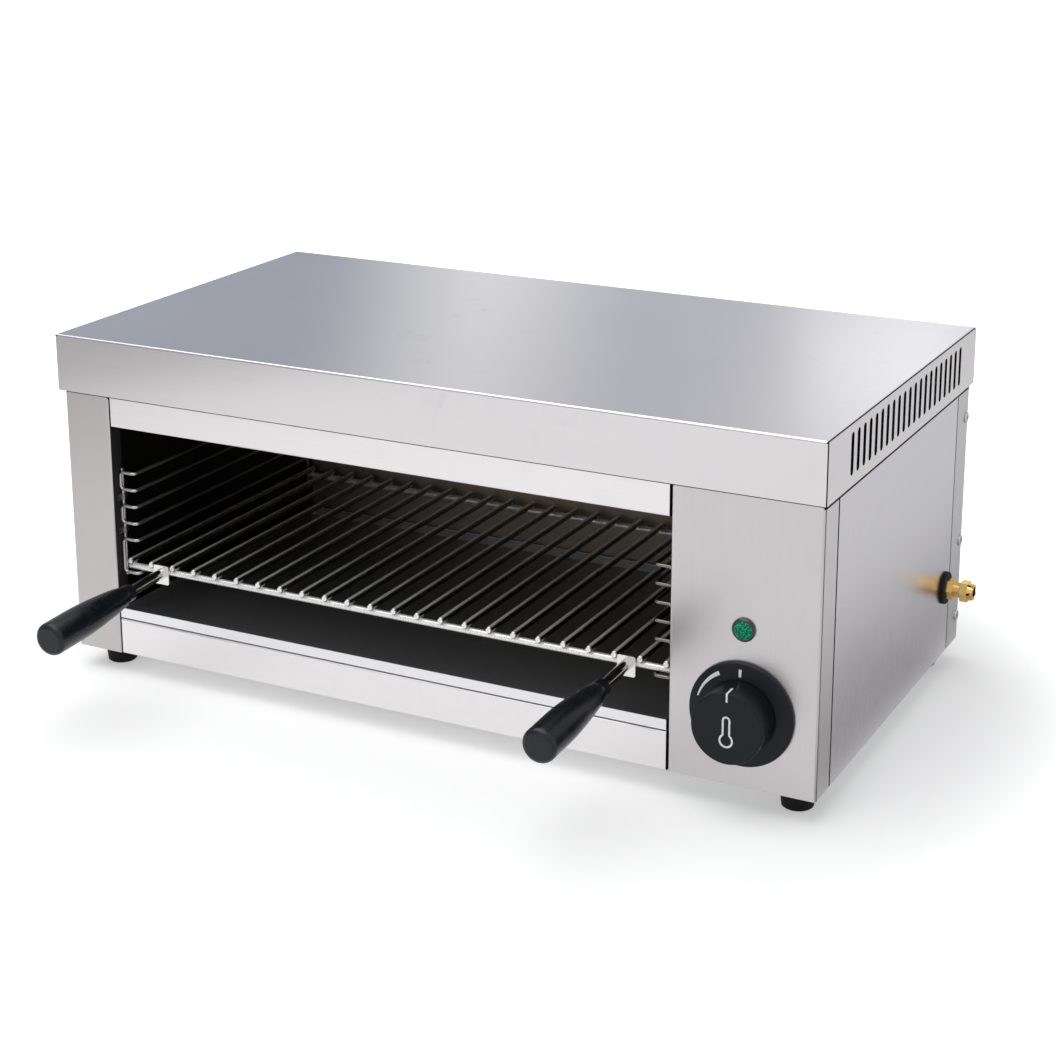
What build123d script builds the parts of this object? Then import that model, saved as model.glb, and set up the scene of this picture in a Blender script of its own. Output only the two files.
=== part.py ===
from build123d import *
import os
from math import cos, radians, sin

"""Countertop electric cheese melter: a slotted folded hood over a folded sheet-steel body,
an open-fronted cavity with heating elements in its roof, welded wire rails, a welded wire rack
with two handles, a drip tray that pulls out, and a control box with a thermostat and a lamp.

Millimetres. X to the right seen from the front, Y to the back, Z up.
The origin is on the table under the middle of the overall box, handles and gland included.
"""

os.makedirs("parts", exist_ok=True)

# ---------------------------------------------------------------- driving dimensions
sheet = 1.0  # outer casing sheet
liner = 0.8  # cavity sheet
bend = 1.0  # bend radius of a folded sheet, at its mid-surface
seam = 0.8  # open line between two outer panels
slide_gap = 0.3  # gap under a piece that slides or is lifted off

hood_width = 610.0
hood_depth = 330.0
hood_skirt = 43.5
hood_edge = 2.0  # outside radius of the hood's folded top edges
hood_slot_length = 28.8
hood_slot_width = 3.4
hood_slot_pitch = 12.1
hood_slot_count = 21
hood_slot_first = 46.8  # first slot behind the hood's front
hood_slot_up = 22.4  # slot centres over the skirt's lower edge

side_inset = 2.5  # body sides inside the hood's sides
front_inset = 5.0
rear_inset = 2.0
body_height = 207.0  # body below the hood's lower edge
side_tuck = 6.0  # side panels reach this far up inside the skirt
column_width = 40.0
panel_width = 106.0
fold_return = 12.0  # depth of the folds beside the opening
corner_wrap = 26.0  # control panel round the front right corner
panel_lap = 9.0  # side panel behind the control panel's wrap
rear_flange = 28.0  # rear panel round the rear corners

lintel_height = 25.0  # upper front panel below the hood's lower edge
lower_panel_height = 28.6
front_return = 18.0  # folds of the two long front panels
tray_lip = 7.7
base_recess = 1.0  # base sheet above the panels' lower edges
base_flange = 14.0

cavity_depth = 275.0  # opening to rear wall
roof_rise = 30.0  # cavity roof over the lower edge of the upper front panel
wall_flange = 10.0
insulation_thickness = 16.0
shield_offset = 14.0  # heat shield beside the cavity's right wall

foot_height = 17.0  # table to body
foot_top_diameter = 26.0
foot_sole_diameter = 22.0
foot_from_side = 21.0
foot_from_end = 25.0
foot_bore_diameter = 11.0
foot_bore_depth = 8.0
foot_edge = 0.8

rod_diameter = 5.0
rod_count = 24
rack_side_gap = 3.5  # opening edge to the outer rod
rack_weld = 0.5  # how far the rods sink into the cross rods
rack_set_back = 8.5  # front face of the body to the rods' front ends
rod_overhang = 4.0  # rod ends past the cross rods' centres
rack_rear_gap = 6.0  # rod ends to the cavity's rear wall
rod_end_chamfer = 0.6

rail_wire = 2.6
rail_pitch = 13.3
rail_reach = 13.0  # runner from the wall wire, centre to centre
rail_wall_gap = 0.2
rail_front = 8.0  # front wires behind the body's front face
rail_rear_gap = 9.0  # rear wall to the rear support wire
rail_lowest = 64.5  # lowest runner over the body's lower edge
rail_bend = 3.0
rail_upright_back = 2.3  # front upright behind the front wires
rail_upright_end = 2.6  # uprights past the first and last runner
rail_clip_foot = 12.0
rail_clip_thickness = 0.5
rail_clip_height = 5.0

handle_length = 134.0  # bracket face to the grip's end
handle_droop = 2.5  # degrees below level
handle_shaft_diameter = 8.0
handle_shaft_wall = 1.2
handle_shaft_shown = 39.0
handle_socket = 32.0  # shaft length inside the grip
grip_collar_diameter = 13.0
grip_collar_length = 7.0
grip_diameter = 24.5
grip_waist_diameter = 19.5  # a third of the way along
grip_end_radius = 4.0
grip_shoulder = 26.0  # collar's end of the grip to its waist
grip_bulge = 68.0  # collar's end of the grip to its full thickness
grip_bore_gap = 0.1
bracket_height = 15.0
bracket_thickness = 2.0
bracket_side_gap = 0.4  # to the rods on each side
bracket_corner = 1.5
bracket_below_rods = 1.0  # bracket's top edge under the rods' tops
handle_over_bracket = 1.0  # handle's axis over the bracket's middle

element_diameter = 6.5
element_pitch = 30.0
element_first = 34.0  # first pass behind the body's front face
element_rise = 16.0  # passes over the lower edge of the upper front panel
element_side_gap = 24.0  # end turns to the cavity walls
element_stub = 12.0  # cold ends past the heat shield
element_bend = 13.5
element_passes = 4  # of each of the two elements
element_nut_across = 13.0
element_nut_thickness = 5.0
element_collar_length = 4.0
element_collar_wall = 0.8
element_terminal_diameter = 4.0
element_terminal_length = 9.0
hanger_drop = 7.0  # hangers round the elements' centres
hanger_thickness = 1.2
hanger_corner = 2.0
hole_gap = 0.3  # clearance round what passes through a sheet
shield_hole_gap = 1.3

tray_side_gap = 1.5
tray_rear_gap = 4.0
tray_corner = 4.0

knob_height = 53.0  # spindle axis over the body's lower edge
bezel_diameter = 74.0
bezel_thickness = 4.6
bezel_rim = 3.0  # thickness at the outer edge
knob_diameter = 50.0
knob_face = 28.0  # front of the cap in front of the panel
knob_gap = 0.6  # cap to bezel
knob_edge = 0.8
knob_wall = 2.4
knob_hub_diameter = 12.0
knob_hub_back = 1.0  # hub's end inside the knob's back edge
knob_rib_thickness = 1.6
knob_rib_back = 3.0
bezel_recess = 3.0  # depth of the round recess behind the knob
bezel_recess_edge = 4.0  # recess inside the knob's edge
bezel_land = 1.0  # flat ring outside the knob's edge
bezel_edge = 0.8
spindle_diameter = 6.0
spindle_flat = 1.5  # axis to the flat that turns the knob
spindle_running_gap = 0.05

thermostat_screw_spread = 28.0
thermostat_screw_head = 6.8
thermostat_screw_past = 1.5
thermostat_depth = 40.0  # panel's front face to the thermostat's back
thermostat_width = 36.0
thermostat_corner = 4.0
thermostat_bush = 11.0
thermostat_bush_out = 3.0
thermostat_plate = 1.5
thermostat_plate_height = 14.0
thermostat_neck_wall = 1.5
thermostat_neck = 4.0
thermostat_cap = 8.0
thermostat_cap_step = 1.0
spindle_depth = 26.0  # spindle behind the panel's front face

phial_diameter = 6.0
phial_length = 90.0
phial_rise = 5.0  # over the lower edge of the upper front panel
phial_from_wall = 9.0
phial_end = 1.0
capillary_diameter = 2.0
capillary_hole = 4.0
capillary_back = 56.0  # behind the panel's front face
capillary_to_phial = 14.0
capillary_bend = 6.0
capillary_side = 14.0  # beside the spindle
capillary_over = 6.0  # where it enters the thermostat, over the spindle
phial_clip_width = 6.0
phial_clip_wall = 1.2
phial_clip_inset = 15.0
phial_clip_foot = 9.0

lamp_height = 112.6
lamp_rim_edge = 0.8
lamp_lens_seat = 0.6
lamp_lens_gap = 0.1
lamp_lens_facets = 12
lamp_lens_foot = 11.6
lamp_lens_face = 6.4
lamp_nut_across = 15.0
lamp_nut_thickness = 3.0
lamp_rim_diameter = 16.4
lamp_rim_thickness = 2.2
lamp_lens_diameter = 12.4
lamp_lens_rise = 3.4
lamp_body_diameter = 10.4
lamp_body_length = 28.0

gland_height = 55.0
gland_from_front = 286.5  # axis behind the hood's front
gland_washer_diameter = 25.0
gland_washer_thickness = 2.6
gland_ring_diameter = 14.4
gland_ring_length = 5.4
gland_neck_diameter = 11.6
gland_neck_length = 5.2
gland_nut_across = 14.6
gland_nut_length = 5.9
gland_finger_length = 4.0
gland_thread_diameter = 12.0
gland_thread_length = 9.0
gland_neck_thread = 3.6  # neck inside the nut
gland_neck_step = 0.8
gland_seal_past = 1.5  # seal's end past the nut's hexagon
gland_finger_slot = 1.6
gland_finger_taper = 12.0
gland_finger_step = 0.4
gland_lock_nut_across = 17.0
gland_lock_nut_thickness = 4.0
thread_gap = 0.1
cord_bore_diameter = 8.0

block_pitch = 12.0
block_depth = 22.0
block_height = 24.0
block_groove = 1.2
block_groove_depth = 4.0
block_well = 6.0  # width and depth of the wells over the clamp screws
block_from_lead = 14.0  # block's back ahead of the rear element lead
block_beside_knob = 3.5
clamp_screw_diameter = 5.2
clamp_screw_height = 3.0
clamp_slot = 0.8
lead_diameter = 2.6
lead_port_rise = 14.0
lead_port_depth = 4.0
lead_bend = 8.0
link_bend = 6.0
link_out = 14.0
lamp_lead_spread = 3.5
earth_stud_diameter = 5.0
earth_stud_height = 5.0
earth_stud_across = 8.0
earth_stud_from_wall = 82.0
earth_stud_back = 190.0

screw_diameter = 4.0
screw_head_diameter = 8.8
screw_head_height = 1.3
screw_head_round = 0.9
screw_shank = 6.0
foot_screw_head = 3.0
foot_screw_past = 1.0
foot_nut_across = 7.0
foot_nut_thickness = 3.2
side_screw_inset = 6.0  # rear side screws ahead of the rear face
side_screw_heights = (20.0, 82.0, 181.0)  # over the body's lower edge
top_flange = 15.0  # rear and front panels under the hood

# ---------------------------------------------------------------- planes and levels
gland_out = (
    gland_washer_thickness + gland_ring_length + gland_neck_length
    + gland_nut_length + gland_finger_length
)
bracket_front_offset = rack_set_back + rod_overhang - rod_diameter / 2 - bracket_thickness
handle_out = handle_length * cos(radians(handle_droop)) - bracket_front_offset - front_inset

overall_width = hood_width + gland_out - side_inset
overall_depth = hood_depth + handle_out + screw_head_height
hood_left = -overall_width / 2
hood_right = hood_left + hood_width
hood_front = -overall_depth / 2 + handle_out
hood_back = hood_front + hood_depth
hood_x = (hood_left + hood_right) / 2
hood_y = (hood_front + hood_back) / 2

body_left = hood_left + side_inset
body_right = hood_right - side_inset
body_front = hood_front + front_inset
body_back = hood_back - rear_inset
body_bottom = foot_height
hood_bottom = body_bottom + body_height
hood_top = hood_bottom + hood_skirt
hood_underside = hood_top - sheet
side_top = hood_bottom + side_tuck

open_left = body_left + column_width
open_right = body_right - panel_width
open_width = open_right - open_left
open_x = (open_left + open_right) / 2
lintel_bottom = hood_bottom - lintel_height
sill_top = body_bottom + lower_panel_height
cavity_front = body_front + fold_return
cavity_back = body_front + cavity_depth
floor_top = sill_top + liner
roof_bottom = lintel_bottom + roof_rise
roof_top = roof_bottom + liner
base_bottom = body_bottom + base_recess
base_top = base_bottom + sheet
tray_bottom = floor_top + slide_gap
tray_top = tray_bottom + tray_lip
shield_x = open_right + shield_offset

half = sheet / 2
half_liner = liner / 2


def front_plane(y):
    """Upright plane facing the viewer at depth y, with X across and Z up."""
    return Plane.XZ.offset(-y)


def side_plane(x):
    """Upright plane facing right at x, with Y across and Z up."""
    return Plane.YZ.offset(x)


# ---------------------------------------------------------------- hood
with BuildPart() as hood_cover:
    with BuildSketch(Plane.XY.offset(hood_bottom)):
        with Locations((hood_x, hood_y)):
            Rectangle(hood_width, hood_depth)
    extrude(amount=hood_skirt)
    fillet(hood_cover.faces().sort_by(Axis.Z)[-1].edges(), hood_edge)
    offset(amount=-sheet, openings=hood_cover.faces().sort_by(Axis.Z)[0])
    slot_middle = hood_front + hood_slot_first + hood_slot_pitch * (hood_slot_count - 1) / 2
    with BuildSketch(side_plane(hood_left - sheet)):
        with Locations((slot_middle, hood_bottom + hood_slot_up)):
            with GridLocations(hood_slot_pitch, 1, hood_slot_count, 1):
                SlotOverall(hood_slot_length, hood_slot_width, rotation=90)
    extrude(amount=hood_width + 2 * sheet, mode=Mode.SUBTRACT)
    hood_screw_places = [
        (hood_x + k * hood_width / 3, hood_bottom + hood_slot_up) for k in (-1, 0, 1)
    ]
    with BuildSketch(front_plane(hood_back + sheet)):
        with Locations(*hood_screw_places):
            Circle(screw_diameter / 2 + hole_gap)
    extrude(amount=3 * sheet, mode=Mode.SUBTRACT)
hood_cover.part.label = "hood_cover"

# ---------------------------------------------------------------- outer body panels
side_screw_places = [(body_back - side_screw_inset, body_bottom + h) for h in side_screw_heights]

with BuildPart() as left_side_panel:
    with BuildSketch(Plane.XY.offset(body_bottom)):
        with BuildLine():
            FilletPolyline(
                (open_left - half, cavity_front),
                (open_left - half, body_front + half),
                (body_left + half, body_front + half),
                (body_left + half, body_back - rear_flange - seam - sheet),
                (body_left + half + sheet, body_back - rear_flange - seam),
                (body_left + half + sheet, body_back - sheet - bend),
                radius=bend,
            )
        trace(line_width=sheet)
    extrude(amount=side_top - body_bottom)
    with BuildSketch(side_plane(body_left)):
        with Locations(*side_screw_places):
            Circle(screw_diameter / 2 + hole_gap)
    extrude(amount=3 * sheet, mode=Mode.SUBTRACT)
left_side_panel.part.label = "left_side_panel"

knob_x = (open_right + body_right) / 2
knob_z = body_bottom + knob_height
lamp_z = body_bottom + lamp_height

with BuildPart() as control_panel:
    with BuildSketch(Plane.XY.offset(body_bottom)):
        with BuildLine():
            FilletPolyline(
                (open_right + half, cavity_front),
                (open_right + half, body_front + half),
                (body_right - half, body_front + half),
                (body_right - half, body_front + corner_wrap),
                radius=bend,
            )
        trace(line_width=sheet)
    extrude(amount=side_top - body_bottom)
    with BuildSketch(front_plane(body_front + 2 * sheet)):
        with Locations((knob_x, knob_z)):
            Circle(thermostat_bush / 2 + hole_gap)
            with GridLocations(thermostat_screw_spread, 1, 2, 1):
                Circle(screw_diameter / 2 + hole_gap)
        with Locations((knob_x, lamp_z)):
            Circle(lamp_body_diameter / 2 + hole_gap)
    extrude(amount=4 * sheet, mode=Mode.SUBTRACT)
control_panel.part.label = "control_panel"

gland_y = hood_front + gland_from_front
gland_z = body_bottom + gland_height

with BuildPart() as right_side_panel:
    with BuildSketch(Plane.XY.offset(body_bottom)):
        with BuildLine():
            FilletPolyline(
                (body_right - half - sheet, body_front + corner_wrap - panel_lap),
                (body_right - half - sheet, body_front + corner_wrap + seam),
                (body_right - half, body_front + corner_wrap + seam + sheet),
                (body_right - half, body_back - rear_flange - seam - sheet),
                (body_right - half - sheet, body_back - rear_flange - seam),
                (body_right - half - sheet, body_back - sheet - bend),
                radius=bend,
            )
        trace(line_width=sheet)
    extrude(amount=side_top - body_bottom)
    with BuildSketch(side_plane(body_right - 2 * sheet)):
        with Locations((gland_y, gland_z)):
            Circle(gland_thread_diameter / 2 + hole_gap)
        with Locations(*side_screw_places):
            Circle(screw_diameter / 2 + hole_gap)
    extrude(amount=3 * sheet, mode=Mode.SUBTRACT)
right_side_panel.part.label = "right_side_panel"

with BuildPart() as rear_panel:
    with BuildSketch(Plane.XY.offset(body_bottom)):
        with BuildLine():
            FilletPolyline(
                (body_left + half, body_back - rear_flange),
                (body_left + half, body_back - half),
                (body_right - half, body_back - half),
                (body_right - half, body_back - rear_flange),
                radius=bend,
            )
        trace(line_width=sheet)
    extrude(amount=hood_underside - body_bottom)
    with BuildSketch(Plane.XY.offset(hood_underside - sheet)):
        with Locations((hood_x, body_back - (top_flange + sheet) / 2)):
            Rectangle(body_right - body_left - 4 * sheet, top_flange)
    extrude(amount=sheet)
    with BuildSketch(side_plane(body_left - sheet)):
        with Locations(*side_screw_places):
            Circle(screw_diameter / 2 + hole_gap)
    extrude(amount=body_right - body_left + 2 * sheet, mode=Mode.SUBTRACT)
    with BuildSketch(front_plane(body_back + sheet)):
        with Locations(*hood_screw_places):
            Circle(screw_diameter / 2 + hole_gap)
    extrude(amount=3 * sheet, mode=Mode.SUBTRACT)
rear_panel.part.label = "rear_panel"

with BuildPart() as upper_front_panel:
    with BuildSketch(side_plane(open_left + seam)):
        with BuildLine():
            FilletPolyline(
                (body_front + front_return, lintel_bottom + half),
                (body_front + half, lintel_bottom + half),
                (body_front + half, hood_underside - half),
                (body_front + top_flange, hood_underside - half),
                radius=bend,
            )
        trace(line_width=sheet)
    extrude(amount=open_width - 2 * seam)
upper_front_panel.part.label = "upper_front_panel"

with BuildPart() as lower_front_panel:
    with BuildSketch(side_plane(open_left + seam)):
        with BuildLine():
            FilletPolyline(
                (body_front + front_return, sill_top - half),
                (body_front + half, sill_top - half),
                (body_front + half, body_bottom + half),
                (body_front + front_return, body_bottom + half),
                radius=bend,
            )
        trace(line_width=sheet)
    extrude(amount=open_width - 2 * seam)
lower_front_panel.part.label = "lower_front_panel"

foot_xs = (body_left + foot_from_side, body_right - foot_from_side)
foot_ys = (body_front + foot_from_end, body_back - foot_from_end)
foot_places = [(x, y) for x in foot_xs for y in foot_ys]
base_left = body_left + 2 * sheet
base_right = body_right - 2 * sheet
earth_stud_x = open_right + earth_stud_from_wall
earth_stud_y = body_front + earth_stud_back

with BuildPart() as base_panel:
    with BuildSketch(front_plane(cavity_front)):
        with BuildLine():
            FilletPolyline(
                (base_left + half, base_bottom + base_flange),
                (base_left + half, base_bottom + half),
                (base_right - half, base_bottom + half),
                (base_right - half, base_bottom + base_flange),
                radius=bend,
            )
        trace(line_width=sheet)
    extrude(amount=cavity_front - (body_back - sheet))
    with BuildSketch(Plane.XY.offset(base_bottom - sheet)):
        with Locations(*foot_places):
            Circle(screw_diameter / 2 + hole_gap)
        with Locations((earth_stud_x, earth_stud_y)):
            Circle(earth_stud_diameter / 2 + hole_gap)
    extrude(amount=3 * sheet, mode=Mode.SUBTRACT)
base_panel.part.label = "base_panel"

# ---------------------------------------------------------------- cavity
element_z = lintel_bottom + element_rise
element_ys = [body_front + element_first + element_pitch * k for k in range(2 * element_passes)]
front_element_ys = element_ys[:element_passes]
rear_element_ys = element_ys[element_passes:]
element_end_ys = [ys[k] for ys in (front_element_ys, rear_element_ys) for k in (0, -1)]
phial_z = lintel_bottom + phial_rise
capillary_y = body_front + capillary_back
element_hole = element_diameter / 2 + hole_gap
wall_height = roof_bottom - sill_top

with BuildPart() as cavity_left_wall:
    with BuildSketch(front_plane(cavity_front)):
        with BuildLine():
            FilletPolyline(
                (open_left - wall_flange, sill_top + half_liner),
                (open_left - half_liner, sill_top + half_liner),
                (open_left - half_liner, roof_bottom - half_liner),
                (open_left - wall_flange, roof_bottom - half_liner),
                radius=bend,
            )
        trace(line_width=liner)
    extrude(amount=cavity_front - cavity_back)
cavity_left_wall.part.label = "cavity_left_wall"

wall_pass_places = [(y, element_z) for y in element_end_ys]

with BuildPart() as cavity_right_wall:
    with BuildSketch(front_plane(cavity_front)):
        with BuildLine():
            FilletPolyline(
                (open_right + wall_flange, sill_top + half_liner),
                (open_right + half_liner, sill_top + half_liner),
                (open_right + half_liner, roof_bottom - half_liner),
                (open_right + wall_flange, roof_bottom - half_liner),
                radius=bend,
            )
        trace(line_width=liner)
    extrude(amount=cavity_front - cavity_back)
    with BuildSketch(side_plane(open_right - liner)):
        with Locations(*wall_pass_places):
            Circle(element_hole)
        with Locations((capillary_y, phial_z)):
            Circle(capillary_hole / 2)
    extrude(amount=3 * liner, mode=Mode.SUBTRACT)
cavity_right_wall.part.label = "cavity_right_wall"

with BuildPart() as cavity_rear_wall:
    with BuildSketch(side_plane(open_left - liner)):
        with BuildLine():
            FilletPolyline(
                (cavity_back - wall_flange, sill_top - half_liner),
                (cavity_back + half_liner, sill_top - half_liner),
                (cavity_back + half_liner, roof_bottom - half_liner),
                (cavity_back + wall_flange, roof_bottom - half_liner),
                radius=bend,
            )
        trace(line_width=liner)
    extrude(amount=open_width + 2 * liner)
cavity_rear_wall.part.label = "cavity_rear_wall"

with BuildPart() as cavity_floor:
    with BuildSketch(Plane.XY.offset(sill_top)):
        with Locations((open_x, (cavity_front + cavity_back - bend) / 2)):
            Rectangle(open_width, cavity_back - bend - cavity_front)
    extrude(amount=liner)
cavity_floor.part.label = "cavity_floor"

with BuildPart() as cavity_roof:
    with BuildSketch(Plane.XY.offset(roof_bottom)):
        with Locations((open_x, (cavity_front + cavity_back + wall_flange) / 2)):
            Rectangle(open_width + 2 * wall_flange, cavity_back + wall_flange - cavity_front)
    extrude(amount=liner)
    # The front edge folds down behind the upper front panel, between the two columns.
    with BuildSketch(side_plane(open_left + seam)):
        with BuildLine():
            FilletPolyline(
                (cavity_front - half_liner, lintel_bottom + sheet),
                (cavity_front - half_liner, roof_bottom + half_liner),
                (cavity_front + wall_flange, roof_bottom + half_liner),
                radius=bend,
            )
        trace(line_width=liner)
    extrude(amount=open_width - 2 * seam)
cavity_roof.part.label = "cavity_roof"

with BuildPart() as insulation:
    with BuildSketch(Plane.XY.offset(roof_top)):
        with Locations((open_x, (cavity_front + cavity_back) / 2)):
            RectangleRounded(open_width - 2 * liner, cavity_back - cavity_front - 2 * liner, 6)
    extrude(amount=insulation_thickness)
    chamfer(insulation.faces().sort_by(Axis.Z)[-1].edges(), 2)
insulation.part.label = "insulation"

with BuildPart() as heat_shield:
    with BuildSketch(front_plane(cavity_front + 2 * liner)):
        with BuildLine():
            FilletPolyline(
                (shield_x + wall_flange, base_top + half_liner),
                (shield_x + half_liner, base_top + half_liner),
                (shield_x + half_liner, roof_top + insulation_thickness),
                radius=bend,
            )
        trace(line_width=liner)
    extrude(amount=cavity_front - cavity_back)
    with BuildSketch(side_plane(shield_x - liner)):
        with Locations(*wall_pass_places):
            Circle(element_diameter / 2 + shield_hole_gap)
        with Locations((capillary_y, phial_z)):
            Circle(capillary_hole / 2)
    extrude(amount=3 * liner, mode=Mode.SUBTRACT)
heat_shield.part.label = "heat_shield"

# ---------------------------------------------------------------- heating elements
element_left_turn = open_left + element_side_gap
element_right_turn = open_right - element_side_gap
element_end_x = shield_x + liner + element_stub


def element_path(ys):
    """Plan of one element: four passes side by side, both ends out through the right wall."""
    return [
        (element_end_x, ys[0], element_z),
        (element_left_turn, ys[0], element_z),
        (element_left_turn, ys[1], element_z),
        (element_right_turn, ys[1], element_z),
        (element_right_turn, ys[2], element_z),
        (element_left_turn, ys[2], element_z),
        (element_left_turn, ys[3], element_z),
        (element_end_x, ys[3], element_z),
    ]


with BuildPart() as front_element:
    with BuildLine() as front_element_line:
        FilletPolyline(*element_path(front_element_ys), radius=element_bend)
    with BuildSketch(Plane(origin=front_element_line.line @ 0, z_dir=front_element_line.line % 0)):
        Circle(element_diameter / 2)
    sweep()
front_element.part.label = "front_element"

with BuildPart() as rear_element:
    with BuildLine() as rear_element_line:
        FilletPolyline(*element_path(rear_element_ys), radius=element_bend)
    with BuildSketch(Plane(origin=rear_element_line.line @ 0, z_dir=rear_element_line.line % 0)):
        Circle(element_diameter / 2)
    sweep()
rear_element.part.label = "rear_element"

hanger_xs = [open_left + open_width * k / 3 for k in (1, 2)]
hanger_y = (element_ys[0] + element_ys[-1]) / 2
hanger_z = (element_z - hanger_drop + roof_bottom) / 2

with BuildPart() as element_hangers:
    for x in hanger_xs:
        with BuildSketch(side_plane(x)):
            with Locations((hanger_y, hanger_z)):
                RectangleRounded(
                    element_ys[-1] - element_ys[0] + 2 * hanger_drop,
                    roof_bottom - element_z + hanger_drop,
                    hanger_corner,
                )
            with Locations(*[(y, element_z) for y in element_ys]):
                Circle(element_hole, mode=Mode.SUBTRACT)
        extrude(amount=hanger_thickness)
element_hangers.part.label = "element_hangers"

with BuildPart() as element_nuts:
    with BuildSketch(side_plane(open_right + liner)):
        with Locations(*wall_pass_places):
            RegularPolygon(element_nut_across / 2, 6, major_radius=False)
            Circle(element_hole, mode=Mode.SUBTRACT)
    extrude(amount=element_nut_thickness)
element_nuts.part.label = "element_nuts"

with BuildPart() as element_terminals:
    with BuildSketch(side_plane(element_end_x)):
        with Locations(*wall_pass_places):
            Circle(element_diameter / 2 + element_collar_wall)
    extrude(amount=element_collar_length)
    with BuildSketch(side_plane(element_end_x)):
        with Locations(*wall_pass_places):
            Circle(element_terminal_diameter / 2)
    extrude(amount=element_terminal_length)
element_terminals.part.label = "element_terminals"

# ---------------------------------------------------------------- rails
rail_wall_wire = rail_wall_gap + rail_wire / 2  # wall to the upright wires' centres
rail_low_z = body_bottom + rail_lowest
rail_front_y = body_front + rail_front
rail_rear_y = cavity_back - rail_rear_gap
rail_levels = [rail_low_z + rail_pitch * k for k in (6, 5, 4, 3, 2, 0)]
rail_upright_ys = (rail_front_y + rail_upright_back, rail_rear_y)
rail_outer_x = open_left + rail_wall_wire
rail_inner_x = rail_outer_x + rail_reach

with BuildPart() as left_rail:
    for upper, lower in zip(rail_levels[::2], rail_levels[1::2]):
        with BuildLine() as rail_line:
            FilletPolyline(
                (rail_outer_x, rail_rear_y, upper),
                (rail_inner_x, rail_rear_y, upper),
                (rail_inner_x, rail_front_y, upper),
                (rail_outer_x, rail_front_y, upper),
                (rail_outer_x, rail_front_y, lower),
                (rail_inner_x, rail_front_y, lower),
                (rail_inner_x, rail_rear_y, lower),
                (rail_outer_x, rail_rear_y, lower),
                radius=rail_bend,
            )
        with BuildSketch(Plane(origin=rail_line.line @ 0, z_dir=rail_line.line % 0)):
            Circle(rail_wire / 2)
        sweep(path=rail_line.line)
    with BuildSketch(Plane.XY.offset(rail_low_z - rail_upright_end)):
        with Locations(*[(rail_outer_x, y) for y in rail_upright_ys]):
            Circle(rail_wire / 2)
    extrude(amount=rail_levels[0] - rail_low_z + 2 * rail_upright_end)
left_rail.part.label = "left_rail"

with BuildPart() as right_rail:
    mirror(left_rail.part, about=Plane.YZ.offset(open_x))
right_rail.part.label = "right_rail"

# Saddle clips hold the uprights to the walls, half way between two runners.
rail_clip_levels = [rail_low_z + rail_pitch * k for k in (2.5, 4.5)]

with BuildPart() as rail_clips:
    for z in rail_clip_levels:
        with BuildSketch(Plane.XY.offset(z - rail_clip_height / 2)):
            with Locations(*[(open_left + rail_clip_thickness / 2, y) for y in rail_upright_ys]):
                Rectangle(rail_clip_thickness, rail_clip_foot)
            with Locations(*[(rail_outer_x, y) for y in rail_upright_ys]):
                Circle(rail_wire / 2 + thread_gap + rail_clip_thickness)
            with Locations(*[(open_left + rail_wall_wire / 2, y) for y in rail_upright_ys]):
                Rectangle(rail_wall_wire, rail_wire + 2 * thread_gap + 2 * rail_clip_thickness)
            with Locations(*[(open_left, y) for y in rail_upright_ys]):
                Rectangle(2 * rail_wall_wire, rail_wire + 2 * thread_gap, mode=Mode.SUBTRACT)
            with Locations(*[(rail_outer_x, y) for y in rail_upright_ys]):
                Circle(rail_wire / 2 + thread_gap, mode=Mode.SUBTRACT)
        extrude(amount=rail_clip_height)
    mirror(about=Plane.YZ.offset(open_x))
rail_clips.part.label = "rail_clips"

# ---------------------------------------------------------------- rack
runner_top = rail_low_z + rail_wire / 2
cross_z = runner_top + slide_gap + rod_diameter / 2
rod_z = cross_z + rod_diameter - rack_weld
rod_front = body_front + rack_set_back
rod_rear = cavity_back - rack_rear_gap
cross_front_y = rod_front + rod_overhang
cross_rear_y = rod_rear - rod_overhang
rod_span = open_width - 2 * rack_side_gap - rod_diameter
rod_pitch = rod_span / (rod_count - 1)

with BuildPart() as rack_grid:
    with BuildSketch(front_plane(rod_front)):
        with Locations((open_x, rod_z)):
            with GridLocations(rod_pitch, 1, rod_count, 1):
                Circle(rod_diameter / 2)
    extrude(amount=rod_front - rod_rear)
    chamfer(rack_grid.faces().filter_by(Plane.XZ).edges(), rod_end_chamfer)
    for y in (cross_front_y, cross_rear_y):
        with BuildSketch(side_plane(open_x - (rod_span + rod_diameter) / 2)):
            with Locations((y, cross_z)):
                Circle(rod_diameter / 2)
        extrude(amount=rod_span + rod_diameter)
rack_grid.part.label = "rack_grid"

bracket_x = rod_span / 2 - 1.5 * rod_pitch  # between the second and third rods
bracket_width = rod_pitch - rod_diameter - 2 * bracket_side_gap
bracket_back = cross_front_y - rod_diameter / 2
bracket_front = bracket_back - bracket_thickness
bracket_z = rod_z + rod_diameter / 2 - bracket_below_rods - bracket_height / 2
handle_xs = (open_x - bracket_x, open_x + bracket_x)

with BuildPart() as handle_brackets:
    with BuildSketch(front_plane(bracket_back)):
        with Locations(*[(x, bracket_z) for x in handle_xs]):
            RectangleRounded(bracket_width, bracket_height, bracket_corner)
    extrude(amount=bracket_thickness)
handle_brackets.part.label = "handle_brackets"

handle_z = bracket_z + handle_over_bracket
droop = radians(handle_droop)
handle_dir = Vector(0, -cos(droop), -sin(droop))
grip_length = handle_length - handle_shaft_shown


def handle_plane(x, along):
    """Plane square to a handle, this far along it from the bracket."""
    return Plane(
        origin=Vector(x, bracket_front, handle_z) + handle_dir * along,
        x_dir=(1, 0, 0),
        z_dir=handle_dir,
    )


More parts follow.
